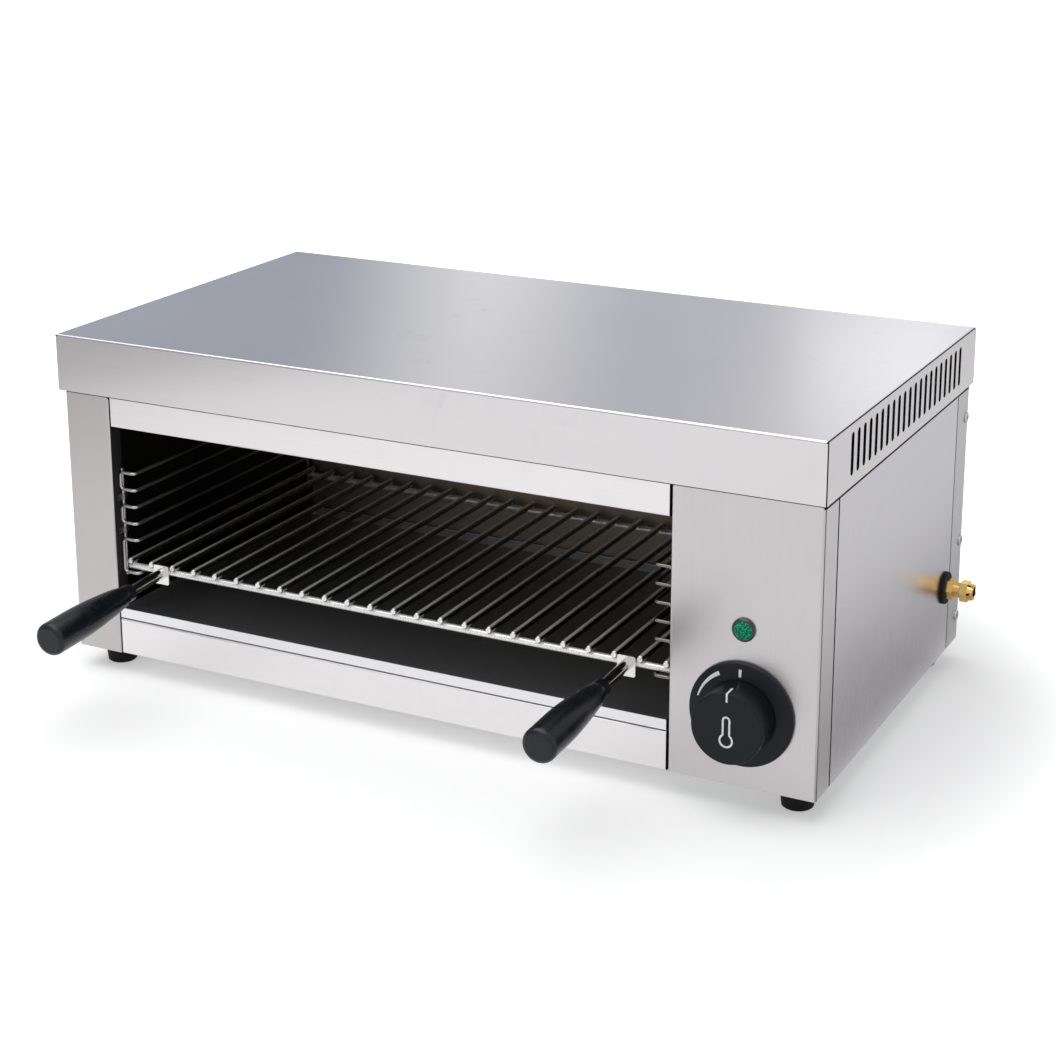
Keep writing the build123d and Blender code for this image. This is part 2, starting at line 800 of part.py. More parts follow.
with BuildPart() as handle_shafts:
    for x in handle_xs:
        with BuildSketch(handle_plane(x, -bracket_thickness)):
            Circle(handle_shaft_diameter / 2)
            Circle(handle_shaft_diameter / 2 - handle_shaft_wall, mode=Mode.SUBTRACT)
        extrude(amount=bracket_thickness + handle_shaft_shown + handle_socket)
    split(bisect_by=front_plane(bracket_front), keep=Keep.TOP)
handle_shafts.part.label = "handle_shafts"

grip_bore = handle_shaft_diameter / 2 + grip_bore_gap
socket_end = handle_socket + hole_gap
grip_base = handle_plane(handle_xs[0], handle_shaft_shown)

# A collar, a shoulder that swells to full size, and a rounded flat end, turned about the shaft.
with BuildPart() as left_grip:
    with BuildSketch(Plane(origin=grip_base.origin, x_dir=handle_dir, z_dir=(-1, 0, 0))):
        with BuildLine():
            Polyline(
                (socket_end, 0),
                (socket_end, grip_bore),
                (0, grip_bore),
                (0, grip_collar_diameter / 2),
                (grip_collar_length, grip_collar_diameter / 2),
            )
            Spline(
                (grip_collar_length, grip_collar_diameter / 2),
                (grip_shoulder, grip_waist_diameter / 2),
                (grip_bulge, grip_diameter / 2),
                tangents=((1, 0.35), (1, 0)),
            )
            Line(
                (grip_bulge, grip_diameter / 2),
                (grip_length - grip_end_radius, grip_diameter / 2),
            )
            RadiusArc(
                (grip_length - grip_end_radius, grip_diameter / 2),
                (grip_length, grip_diameter / 2 - grip_end_radius),
                grip_end_radius,
            )
            Line((grip_length, grip_diameter / 2 - grip_end_radius), (grip_length, 0))
            Line((grip_length, 0), (socket_end, 0))
        make_face()
    revolve(axis=Axis(grip_base.origin, handle_dir))
left_grip.part.label = "left_grip"

with BuildPart() as right_grip:
    mirror(left_grip.part, about=Plane.YZ.offset(open_x))
right_grip.part.label = "right_grip"

# ---------------------------------------------------------------- drip tray
tray_width = open_width - 2 * tray_side_gap
tray_length = cavity_back - tray_rear_gap - body_front

with BuildPart() as drip_tray:
    with BuildSketch(Plane.XY.offset(tray_bottom)):
        with Locations((open_x, body_front + tray_length / 2)):
            Rectangle(tray_width, tray_length)
    extrude(amount=tray_lip)
    fillet(drip_tray.edges().filter_by(Axis.Z).group_by(Axis.Y)[-1], tray_corner)
    offset(amount=-liner, openings=drip_tray.faces().sort_by(Axis.Z)[-1])
drip_tray.part.label = "drip_tray"

# ---------------------------------------------------------------- knob and thermostat
thermostat_rear = body_front + thermostat_depth
bezel_floor = bezel_thickness - bezel_recess
cap_back = bezel_thickness + knob_gap
hub_back = cap_back + knob_hub_back
cap_inside = knob_face - knob_wall
spindle_bore = spindle_diameter / 2 + spindle_running_gap
# Half plane through the spindle: out of the panel, then up.
knob_profile = Plane(origin=(knob_x, body_front, knob_z), x_dir=(0, -1, 0), z_dir=(-1, 0, 0))
knob_axis = Axis((knob_x, body_front, knob_z), (0, -1, 0))
thermostat_screw_places = [
    (knob_x + side * thermostat_screw_spread / 2, knob_z) for side in (-1, 1)
]

with BuildPart() as knob_bezel:
    with BuildSketch(knob_profile):
        with BuildLine():
            Polyline(
                (0, thermostat_bush / 2 + hole_gap),
                (0, bezel_diameter / 2),
                (bezel_rim - bezel_edge, bezel_diameter / 2),
                (bezel_rim, bezel_diameter / 2 - bezel_edge),
                (bezel_thickness, knob_diameter / 2 + bezel_land),
                (bezel_thickness, knob_diameter / 2 - bezel_recess_edge),
                (bezel_floor, knob_diameter / 2 - bezel_recess_edge - bezel_edge),
                (bezel_floor, thermostat_bush / 2 + hole_gap),
                close=True,
            )
        make_face()
    revolve(axis=knob_axis)
    with BuildSketch(front_plane(body_front)):
        with Locations(*thermostat_screw_places):
            Circle(screw_diameter / 2 + hole_gap)
    extrude(amount=bezel_thickness, mode=Mode.SUBTRACT)
knob_bezel.part.label = "knob_bezel"

rib_middle = (knob_hub_diameter + knob_diameter - 2 * knob_wall) / 4
rib_length = (knob_diameter - knob_wall - knob_hub_diameter) / 2

with BuildPart() as knob_cap:
    with BuildSketch(knob_profile):
        with BuildLine():
            Polyline(
                (cap_back, knob_diameter / 2),
                (knob_face, knob_diameter / 2),
                (knob_face, 0),
                (cap_inside, 0),
                (cap_inside, spindle_bore),
                (hub_back, spindle_bore),
                (hub_back, knob_hub_diameter / 2),
                (cap_inside, knob_hub_diameter / 2),
                (cap_inside, knob_diameter / 2 - knob_wall),
                (cap_back, knob_diameter / 2 - knob_wall),
                close=True,
            )
        make_face()
    revolve(axis=knob_axis)
    fillet(knob_cap.faces().sort_by(Axis.Y)[0].edges(), knob_edge)
    # Four ribs join the hub to the skirt.
    with BuildSketch(front_plane(body_front - cap_back - knob_rib_back)):
        with Locations((knob_x, knob_z)):
            with PolarLocations(rib_middle, 4, start_angle=45):
                Rectangle(rib_length, knob_rib_thickness)
    extrude(amount=cap_inside - cap_back - knob_rib_back)
    # The flat side of the hub's bore, over the spindle's flat.
    bore_fill = spindle_bore - spindle_flat
    with BuildSketch(front_plane(body_front - hub_back)):
        with Locations((knob_x, knob_z + spindle_flat + spindle_running_gap + bore_fill / 2)):
            Rectangle(spindle_diameter, bore_fill)
    extrude(amount=cap_inside - hub_back)
knob_cap.part.label = "knob_cap"

spindle_out = cap_inside - hole_gap
with BuildPart() as thermostat_spindle:
    with BuildSketch(front_plane(body_front + spindle_depth)):
        with Locations((knob_x, knob_z)):
            Circle(spindle_diameter / 2)
    extrude(amount=spindle_depth + spindle_out)
    chamfer(thermostat_spindle.faces().sort_by(Axis.Y)[0].edges(), hole_gap)
    # The flat that turns with the knob's hub.
    with BuildSketch(front_plane(body_front - cap_back)):
        with Locations((knob_x, knob_z + spindle_flat + spindle_diameter / 2)):
            Rectangle(spindle_diameter, spindle_diameter)
    extrude(amount=spindle_out - cap_back, mode=Mode.SUBTRACT)
thermostat_spindle.part.label = "thermostat_spindle"

plate_back = body_front + sheet + thermostat_plate
case_front = plate_back + thermostat_neck
with BuildPart() as thermostat:
    with BuildSketch(front_plane(plate_back)):
        with Locations((knob_x, knob_z)):
            SlotOverall(thermostat_screw_spread + thermostat_plate_height, thermostat_plate_height)
    extrude(amount=thermostat_plate)
    with BuildSketch(front_plane(case_front)):
        with Locations((knob_x, knob_z)):
            Circle(thermostat_bush / 2 + thermostat_neck_wall)
    extrude(amount=thermostat_neck)
    with BuildSketch(front_plane(thermostat_rear - thermostat_cap)):
        with Locations((knob_x, knob_z)):
            RectangleRounded(thermostat_width, thermostat_width, thermostat_corner)
    extrude(amount=thermostat_rear - thermostat_cap - case_front)
    with BuildSketch(front_plane(thermostat_rear)):
        with Locations((knob_x, knob_z)):
            RectangleRounded(
                thermostat_width - 2 * thermostat_cap_step,
                thermostat_width - 2 * thermostat_cap_step,
                thermostat_corner,
            )
    extrude(amount=thermostat_cap)
    with BuildSketch(front_plane(body_front + sheet)):
        with Locations((knob_x, knob_z)):
            Circle(thermostat_bush / 2)
    extrude(amount=sheet + thermostat_bush_out)
    with BuildSketch(front_plane(body_front + spindle_depth + hole_gap)):
        with Locations((knob_x, knob_z)):
            Circle(spindle_bore)
    extrude(amount=spindle_depth + hole_gap + thermostat_bush_out, mode=Mode.SUBTRACT)
    with BuildSketch(front_plane(plate_back)):
        with Locations(*thermostat_screw_places):
            Circle(screw_diameter / 2)
    extrude(amount=thermostat_plate, mode=Mode.SUBTRACT)
thermostat.part.label = "thermostat"

# Two screws hold the bezel, the panel and the thermostat together under the knob.
with BuildPart() as thermostat_screws:
    with BuildSketch(front_plane(plate_back + thermostat_screw_past)):
        with Locations(*thermostat_screw_places):
            Circle(screw_diameter / 2 - spindle_running_gap)
    extrude(amount=thermostat_screw_past + thermostat_plate + sheet + bezel_floor)
    with BuildSketch(front_plane(body_front - bezel_floor)):
        with Locations(*thermostat_screw_places):
            Circle(thermostat_screw_head / 2)
    extrude(amount=screw_head_height)
thermostat_screws.part.label = "thermostat_screws"

phial_x = open_right - phial_from_wall
phial_start = capillary_y + capillary_to_phial
capillary_x = knob_x + capillary_side

with BuildPart() as thermostat_phial:
    with BuildSketch(front_plane(phial_start + phial_length)):
        with Locations((phial_x, phial_z)):
            Circle(phial_diameter / 2)
    extrude(amount=phial_length)
    chamfer(thermostat_phial.faces().filter_by(Plane.XZ).edges(), phial_end)
    # The thin tube runs through the wall and the heat shield, down, and into the thermostat.
    with BuildLine() as capillary_line:
        FilletPolyline(
            (phial_x, phial_start + phial_end, phial_z),
            (phial_x, capillary_y, phial_z),
            (capillary_x, capillary_y, phial_z),
            (capillary_x, capillary_y, knob_z + capillary_over),
            (capillary_x, thermostat_rear, knob_z + capillary_over),
            radius=capillary_bend,
        )
    with BuildSketch(Plane(origin=capillary_line.line @ 0, z_dir=capillary_line.line % 0)):
        Circle(capillary_diameter / 2)
    sweep(path=capillary_line.line)
thermostat_phial.part.label = "thermostat_phial"

phial_clip_ring = phial_diameter / 2 + phial_clip_wall
with BuildPart() as phial_clips:
    for y in (phial_start + phial_clip_inset, phial_start + phial_length - phial_clip_inset):
        with BuildSketch(front_plane(y + phial_clip_width / 2)):
            with Locations((phial_x, phial_z)):
                Circle(phial_clip_ring)
            with Locations(((phial_x + open_right) / 2, phial_z + phial_clip_ring - phial_clip_wall / 2)):
                Rectangle(phial_from_wall, phial_clip_wall)
            with Locations((open_right - phial_clip_wall / 2, phial_z)):
                Rectangle(phial_clip_wall, phial_clip_foot)
            with Locations((phial_x, phial_z)):
                Circle(phial_diameter / 2 + thread_gap, mode=Mode.SUBTRACT)
        extrude(amount=phial_clip_width)
phial_clips.part.label = "phial_clips"

# ---------------------------------------------------------------- pilot lamp
lamp_profile = Plane(origin=(knob_x, body_front, lamp_z), x_dir=(0, -1, 0), z_dir=(-1, 0, 0))
lamp_axis = Axis((knob_x, body_front, lamp_z), (0, -1, 0))
lamp_rim_inside = lamp_lens_diameter / 2 + lamp_lens_gap

with BuildPart() as lamp_housing:
    with BuildSketch(lamp_profile):
        with BuildLine():
            Polyline(
                (-lamp_body_length, 0),
                (-lamp_body_length, lamp_body_diameter / 2),
                (0, lamp_body_diameter / 2),
                (0, lamp_rim_diameter / 2),
                (lamp_rim_thickness - lamp_rim_edge, lamp_rim_diameter / 2),
                (lamp_rim_thickness, lamp_rim_diameter / 2 - lamp_rim_edge),
                (lamp_rim_thickness, lamp_rim_inside),
                (lamp_lens_seat, lamp_rim_inside),
                (lamp_lens_seat, 0),
                close=True,
            )
        make_face()
    revolve(axis=lamp_axis)
lamp_housing.part.label = "lamp_housing"

with BuildPart() as lamp_lens:
    with BuildSketch(front_plane(body_front - lamp_lens_seat)):
        with Locations((knob_x, lamp_z)):
            Circle(lamp_lens_diameter / 2)
    extrude(amount=lamp_rim_thickness - lamp_lens_seat)
    lens_steps = (
        (lamp_rim_thickness, lamp_lens_foot),
        (lamp_lens_seat + lamp_lens_rise, lamp_lens_face),
    )
    for out, across in lens_steps:
        with BuildSketch(front_plane(body_front - out)):
            with Locations((knob_x, lamp_z)):
                RegularPolygon(across / 2, lamp_lens_facets)
    loft()
lamp_lens.part.label = "lamp_lens"

with BuildPart() as lamp_nut:
    with BuildSketch(front_plane(body_front + sheet + lamp_nut_thickness)):
        with Locations((knob_x, lamp_z)):
            RegularPolygon(lamp_nut_across / 2, 6, major_radius=False)
            Circle(lamp_body_diameter / 2 + thread_gap, mode=Mode.SUBTRACT)
    extrude(amount=lamp_nut_thickness)
lamp_nut.part.label = "lamp_nut"

# ---------------------------------------------------------------- connections
block_x = knob_x + block_beside_knob
block_back = element_ys[-1] - block_from_lead
block_front = block_back - block_depth
block_y = (block_front + block_back) / 2
block_top = base_top + block_height
port_z = base_top + lead_port_rise
pole_xs = [block_x + block_pitch * k for k in (-1, 0, 1)]
pole_places = [(x, block_y) for x in pole_xs]
port_places = [(x, port_z) for x in pole_xs]

with BuildPart() as terminal_block:
    with BuildSketch(Plane.XY.offset(base_top)):
        with Locations((block_x, block_y)):
            Rectangle(3 * block_pitch, block_depth)
    extrude(amount=block_height)
    with BuildSketch(Plane.XY.offset(block_top)):
        with Locations((block_x, block_y)):
            with GridLocations(block_pitch, 1, 2, 1):
                Rectangle(block_groove, block_depth)
    extrude(amount=-block_groove_depth, mode=Mode.SUBTRACT)
    with BuildSketch(Plane.XY.offset(block_top)):
        with Locations(*pole_places):
            Circle(block_well / 2)
    extrude(amount=-block_well, mode=Mode.SUBTRACT)
    for y, inward in ((block_front, -1), (block_back, 1)):
        with BuildSketch(front_plane(y)):
            with Locations(*port_places):
                Circle(lead_diameter / 2 + hole_gap)
        extrude(amount=inward * lead_port_depth, mode=Mode.SUBTRACT)
terminal_block.part.label = "terminal_block"

with BuildPart() as terminal_screws:
    with BuildSketch(Plane.XY.offset(block_top - block_well)):
        with Locations(*pole_places):
            Circle(clamp_screw_diameter / 2)
    extrude(amount=clamp_screw_height)
    with BuildSketch(Plane.XY.offset(block_top - block_well + clamp_screw_height)):
        with Locations(*pole_places):
            Rectangle(clamp_slot, clamp_screw_diameter)
    extrude(amount=-clamp_slot, mode=Mode.SUBTRACT)
terminal_screws.part.label = "terminal_screws"

with BuildPart() as earth_stud:
    with BuildSketch(Plane.XY.offset(base_bottom)):
        with Locations((earth_stud_x, earth_stud_y)):
            Circle(earth_stud_diameter / 2)
    extrude(amount=sheet + earth_stud_height)
    with BuildSketch(Plane.XY.offset(base_top)):
        with Locations((earth_stud_x, earth_stud_y)):
            RegularPolygon(earth_stud_across / 2, 6, major_radius=False)
    extrude(amount=earth_stud_height - sheet)
earth_stud.part.label = "earth_stud"

terminal_x = element_end_x + element_terminal_length
thermostat_top = knob_z + thermostat_width / 2
lamp_back = body_front + lamp_body_length
supply_y = body_front + 70.0  # where the leads from the block turn up
lamp_live_y = body_front + 54.0
lamp_neutral_y = body_front + 62.0
switched_x = knob_x + 8.0
supply_z = knob_z - 8.0
lamp_feed_z = knob_z + 4.0
lamp_left_x = knob_x - lamp_lead_spread
lamp_right_x = knob_x + lamp_lead_spread
front_port_y = block_front + lead_port_depth
rear_port_y = block_back - lead_port_depth

supply_route = [
    (pole_xs[0], front_port_y, port_z),
    (pole_xs[0], supply_y, port_z),
    (pole_xs[0], supply_y, supply_z),
    (pole_xs[0], thermostat_rear, supply_z),
]
switched_route = [
    (switched_x, element_end_ys[0], thermostat_top),
    (switched_x, element_end_ys[0], element_z),
    (terminal_x, element_end_ys[0], element_z),
]
neutral_route = [
    (pole_xs[2], rear_port_y, port_z),
    (pole_xs[2], element_end_ys[3], port_z),
    (pole_xs[2], element_end_ys[3], element_z),
    (terminal_x, element_end_ys[3], element_z),
]
lamp_supply_route = [
    (lamp_left_x, lamp_back, lamp_z),
    (lamp_left_x, lamp_live_y, lamp_z),
    (lamp_left_x, lamp_live_y, lamp_feed_z),
    (lamp_left_x, thermostat_rear, lamp_feed_z),
]
lamp_neutral_route = [
    (lamp_right_x, lamp_back, lamp_z),
    (lamp_right_x, lamp_neutral_y, lamp_z),
    (lamp_right_x, lamp_neutral_y, port_z),
    (pole_xs[1], front_port_y, port_z),
]
link_route = [
    (terminal_x, element_end_ys[1], element_z),
    (terminal_x + link_out, element_end_ys[1], element_z),
    (terminal_x + link_out, element_end_ys[2], element_z),
    (terminal_x, element_end_ys[2], element_z),
]
earth_route = [
    (pole_xs[2], front_port_y, port_z),
    (pole_xs[2], earth_stud_y, port_z),
    (earth_stud_x, earth_stud_y, port_z),
    (earth_stud_x, earth_stud_y, base_top + earth_stud_height),
]
long_routes = (supply_route, switched_route, neutral_route, lamp_supply_route, lamp_neutral_route)
short_routes = (link_route, earth_route)
lead_paths = [FilletPolyline(*route, radius=lead_bend) for route in long_routes]
lead_paths += [FilletPolyline(*route, radius=link_bend) for route in short_routes]

with BuildPart() as internal_leads:
    for path in lead_paths:
        with BuildSketch(Plane(origin=path @ 0, z_dir=path % 0)):
            Circle(lead_diameter / 2)
        sweep(path=path)
internal_leads.part.label = "internal_leads"

# ---------------------------------------------------------------- cable gland
ring_x = body_right + gland_washer_thickness
neck_x = ring_x + gland_ring_length
nut_x = neck_x + gland_neck_length
nut_end_x = nut_x + gland_nut_length
gland_end_x = nut_end_x + gland_finger_length
thread_x = body_right - gland_thread_length
neck_thread_radius = gland_neck_diameter / 2 - gland_neck_step
seal_start_x = nut_x + gland_neck_thread

with BuildPart() as gland_washer:
    with BuildSketch(side_plane(body_right)):
        with Locations((gland_y, gland_z)):
            Circle(gland_washer_diameter / 2)
            Circle(gland_thread_diameter / 2 + hole_gap, mode=Mode.SUBTRACT)
    extrude(amount=gland_washer_thickness)
    fillet(gland_washer.faces().sort_by(Axis.X)[-1].outer_wire().edges(), gland_neck_step)
gland_washer.part.label = "gland_washer"

with BuildPart() as gland_body:
    with BuildSketch(side_plane(thread_x)):
        with Locations((gland_y, gland_z)):
            Circle(gland_thread_diameter / 2)
    extrude(amount=ring_x - thread_x)
    with BuildSketch(side_plane(ring_x)):
        with Locations((gland_y, gland_z)):
            RegularPolygon(gland_ring_diameter / 2, 6, major_radius=False)
    extrude(amount=gland_ring_length)
    with BuildSketch(side_plane(neck_x)):
        with Locations((gland_y, gland_z)):
            Circle(gland_neck_diameter / 2)
    extrude(amount=gland_neck_length)
    with BuildSketch(side_plane(nut_x)):
        with Locations((gland_y, gland_z)):
            Circle(neck_thread_radius)
    extrude(amount=gland_neck_thread)
    with BuildSketch(side_plane(thread_x)):
        with Locations((gland_y, gland_z)):
            Circle(cord_bore_diameter / 2)
    extrude(amount=seal_start_x - thread_x, mode=Mode.SUBTRACT)
gland_body.part.label = "gland_body"

with BuildPart() as gland_nut:
    with BuildSketch(side_plane(nut_x)):
        with Locations((gland_y, gland_z)):
            RegularPolygon(gland_nut_across / 2, 6, major_radius=False)
    extrude(amount=gland_nut_length)
    chamfer(gland_nut.faces().sort_by(Axis.X)[0].edges(), gland_finger_step)
    # Six tapered fingers close round the cord.
    with BuildSketch(side_plane(nut_end_x)):
        with Locations((gland_y, gland_z)):
            Circle(gland_nut_across / 2 - gland_finger_step)
            with PolarLocations(gland_nut_across / 2, 6):
                Rectangle(gland_nut_across / 3, gland_finger_slot, mode=Mode.SUBTRACT)
    extrude(amount=gland_finger_length, taper=gland_finger_taper)
    with BuildSketch(side_plane(nut_x)):
        with Locations((gland_y, gland_z)):
            Circle(neck_thread_radius + thread_gap)
    extrude(amount=gland_nut_length + gland_seal_past, mode=Mode.SUBTRACT)
    with BuildSketch(side_plane(nut_x)):
        with Locations((gland_y, gland_z)):
            Circle(cord_bore_diameter / 2)
    extrude(amount=gland_end_x - nut_x, mode=Mode.SUBTRACT)
gland_nut.part.label = "gland_nut"

with BuildPart() as gland_seal:
    with BuildSketch(side_plane(seal_start_x)):
        with Locations((gland_y, gland_z)):
            Circle(neck_thread_radius)
            Circle(cord_bore_diameter / 2, mode=Mode.SUBTRACT)
    extrude(amount=nut_end_x + gland_seal_past - seal_start_x)
gland_seal.part.label = "gland_seal"

with BuildPart() as gland_lock_nut:
    with BuildSketch(side_plane(body_right - sheet)):
        with Locations((gland_y, gland_z)):
            RegularPolygon(gland_lock_nut_across / 2, 6, major_radius=False)
            Circle(gland_thread_diameter / 2 + thread_gap, mode=Mode.SUBTRACT)
    extrude(amount=-gland_lock_nut_thickness)
gland_lock_nut.part.label = "gland_lock_nut"

# ---------------------------------------------------------------- fasteners and feet
with BuildPart() as side_screws:
    for x, outward in ((body_left, -1), (body_right, 1)):
        with BuildSketch(side_plane(x)):
            with Locations(*side_screw_places):
                Circle(screw_head_diameter / 2)
        extrude(amount=outward * screw_head_height)
        with BuildSketch(side_plane(x)):
            with Locations(*side_screw_places):
                Circle(screw_diameter / 2)
        extrude(amount=-outward * screw_shank)
    head_faces = side_screws.faces().filter_by(GeomType.PLANE).group_by(Axis.X)
    fillet((head_faces[0] + head_faces[-1]).edges(), screw_head_round)
side_screws.part.label = "side_screws"

with BuildPart() as hood_screws:
    with BuildSketch(front_plane(hood_back)):
        with Locations(*hood_screw_places):
            Circle(screw_head_diameter / 2)
    extrude(amount=-screw_head_height)
    with BuildSketch(front_plane(hood_back)):
        with Locations(*hood_screw_places):
            Circle(screw_diameter / 2)
    extrude(amount=screw_shank)
    fillet(hood_screws.faces().group_by(Axis.Y)[-1].edges(), screw_head_round)
hood_screws.part.label = "hood_screws"

with BuildPart() as feet:
    with Locations(*foot_places):
        Cone(
            foot_sole_diameter / 2,
            foot_top_diameter / 2,
            base_bottom,
            align=(Align.CENTER, Align.CENTER, Align.MIN),
        )
    chamfer(feet.faces().group_by(Axis.Z)[0].edges(), foot_edge)
    with BuildSketch(Plane.XY):
        with Locations(*foot_places):
            Circle(foot_bore_diameter / 2)
    extrude(amount=foot_bore_depth, mode=Mode.SUBTRACT)
    with BuildSketch(Plane.XY):
        with Locations(*foot_places):
            Circle(screw_diameter / 2 + hole_gap)
    extrude(amount=base_bottom, mode=Mode.SUBTRACT)
feet.part.label = "feet"

with BuildPart() as foot_screws:
    with BuildSketch(Plane.XY.offset(foot_bore_depth)):
        with Locations(*foot_places):
            Circle(screw_head_diameter / 2)
    extrude(amount=-foot_screw_head)
    with BuildSketch(Plane.XY.offset(foot_bore_depth)):
        with Locations(*foot_places):
            Circle(screw_diameter / 2)
    extrude(amount=base_top + foot_nut_thickness + foot_screw_past - foot_bore_depth)
foot_screws.part.label = "foot_screws"

with BuildPart() as foot_nuts:
    with BuildSketch(Plane.XY.offset(base_top)):
        with Locations(*foot_places):
            RegularPolygon(foot_nut_across / 2, 6, major_radius=False)
            Circle(screw_diameter / 2 + thread_gap, mode=Mode.SUBTRACT)
    extrude(amount=foot_nut_thickness)
foot_nuts.part.label = "foot_nuts"

# ---------------------------------------------------------------- files
pieces = (
    hood_cover, left_side_panel, control_panel, right_side_panel, rear_panel,
    upper_front_panel, lower_front_panel, base_panel,
    cavity_left_wall, cavity_right_wall, cavity_rear_wall, cavity_floor, cavity_roof,
    insulation, heat_shield,
    front_element, rear_element, element_hangers, element_nuts, element_terminals,
    left_rail, right_rail, rail_clips,
    rack_grid, handle_brackets, handle_shafts, left_grip, right_grip, drip_tray,
    knob_bezel, knob_cap, thermostat_spindle, thermostat, thermostat_screws,
    thermostat_phial, phial_clips, lamp_housing, lamp_lens, lamp_nut,
    terminal_block, terminal_screws, earth_stud, internal_leads,
    gland_washer, gland_body, gland_nut, gland_seal, gland_lock_nut,
    side_screws, hood_screws, feet, foot_screws, foot_nuts,
)
for piece in pieces:
    export_step(piece.part, f"parts/{piece.part.label}.step")
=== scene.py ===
import math

import bmesh
import bpy
from mathutils import Matrix, Vector


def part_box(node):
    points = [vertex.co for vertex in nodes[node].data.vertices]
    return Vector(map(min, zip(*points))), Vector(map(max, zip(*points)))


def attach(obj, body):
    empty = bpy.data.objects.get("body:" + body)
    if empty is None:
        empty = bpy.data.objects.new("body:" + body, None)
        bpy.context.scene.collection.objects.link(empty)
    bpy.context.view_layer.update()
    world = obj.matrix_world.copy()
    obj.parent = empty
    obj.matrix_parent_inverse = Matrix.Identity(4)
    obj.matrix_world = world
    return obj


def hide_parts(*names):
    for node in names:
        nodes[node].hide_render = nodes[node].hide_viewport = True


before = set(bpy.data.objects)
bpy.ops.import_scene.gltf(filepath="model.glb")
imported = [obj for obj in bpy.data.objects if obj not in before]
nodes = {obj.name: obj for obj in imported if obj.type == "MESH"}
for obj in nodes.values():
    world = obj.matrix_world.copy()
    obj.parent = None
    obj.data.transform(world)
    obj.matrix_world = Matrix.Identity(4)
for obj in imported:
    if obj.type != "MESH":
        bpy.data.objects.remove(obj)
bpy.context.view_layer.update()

MM = 0.001
GROOVE = 0.9 * MM  # the open line round the hood's end plates
DIAGONAL = 0.7071  # one side of a square whose diagonal is one
EAVE_LINE = 2.6 * MM  # shade under the hood's lower edge
EAVE_LINE_SIDE = 1.9 * MM  # how much deeper the skirt hides the panels that face sideways
ROD = 5.0 * MM
RODS = 24
CROSS_ROD_INSET = 4.0 * MM  # from the rack's front and rear to the middles of its cross rods
# The edges of the cavity's mouth: the left column's fold and the control panel's edge.
OPEN_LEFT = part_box("left_side_panel")[1][0]
OPEN_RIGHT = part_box("control_panel")[0][0]


def middle_and_size(name):
    low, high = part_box(name)
    return (Vector(low) + Vector(high)) / 2, Vector(high) - Vector(low)


# ---------------------------------------------------------------- shader maths
class Value:
    """A number that varies over a surface. Arithmetic on it adds Math nodes."""

    def __init__(self, finish, socket):
        self.finish = finish
        self.socket = socket

    def math(self, operation, *operands):
        return self.finish.node("ShaderNodeMath", {"operation": operation}, dict(enumerate(operands)))

    def __add__(self, other):
        return self.math("ADD", self, other)

    def __radd__(self, other):
        return self.math("ADD", other, self)

    def __sub__(self, other):
        return self.math("SUBTRACT", self, other)

    def __rsub__(self, other):
        return self.math("SUBTRACT", other, self)

    def __mul__(self, other):
        return self.math("MULTIPLY", self, other)

    def __rmul__(self, other):
        return self.math("MULTIPLY", other, self)

    def __truediv__(self, other):
        return self.math("DIVIDE", self, other)

    def __gt__(self, other):
        return self.math("GREATER_THAN", self, other)

    def __lt__(self, other):
        return self.math("LESS_THAN", self, other)

    def __abs__(self):
        return self.math("ABSOLUTE", self)

    def larger(self, other):
        return self.math("MAXIMUM", self, other)

    def smaller(self, other):
        return self.math("MINIMUM", self, other)


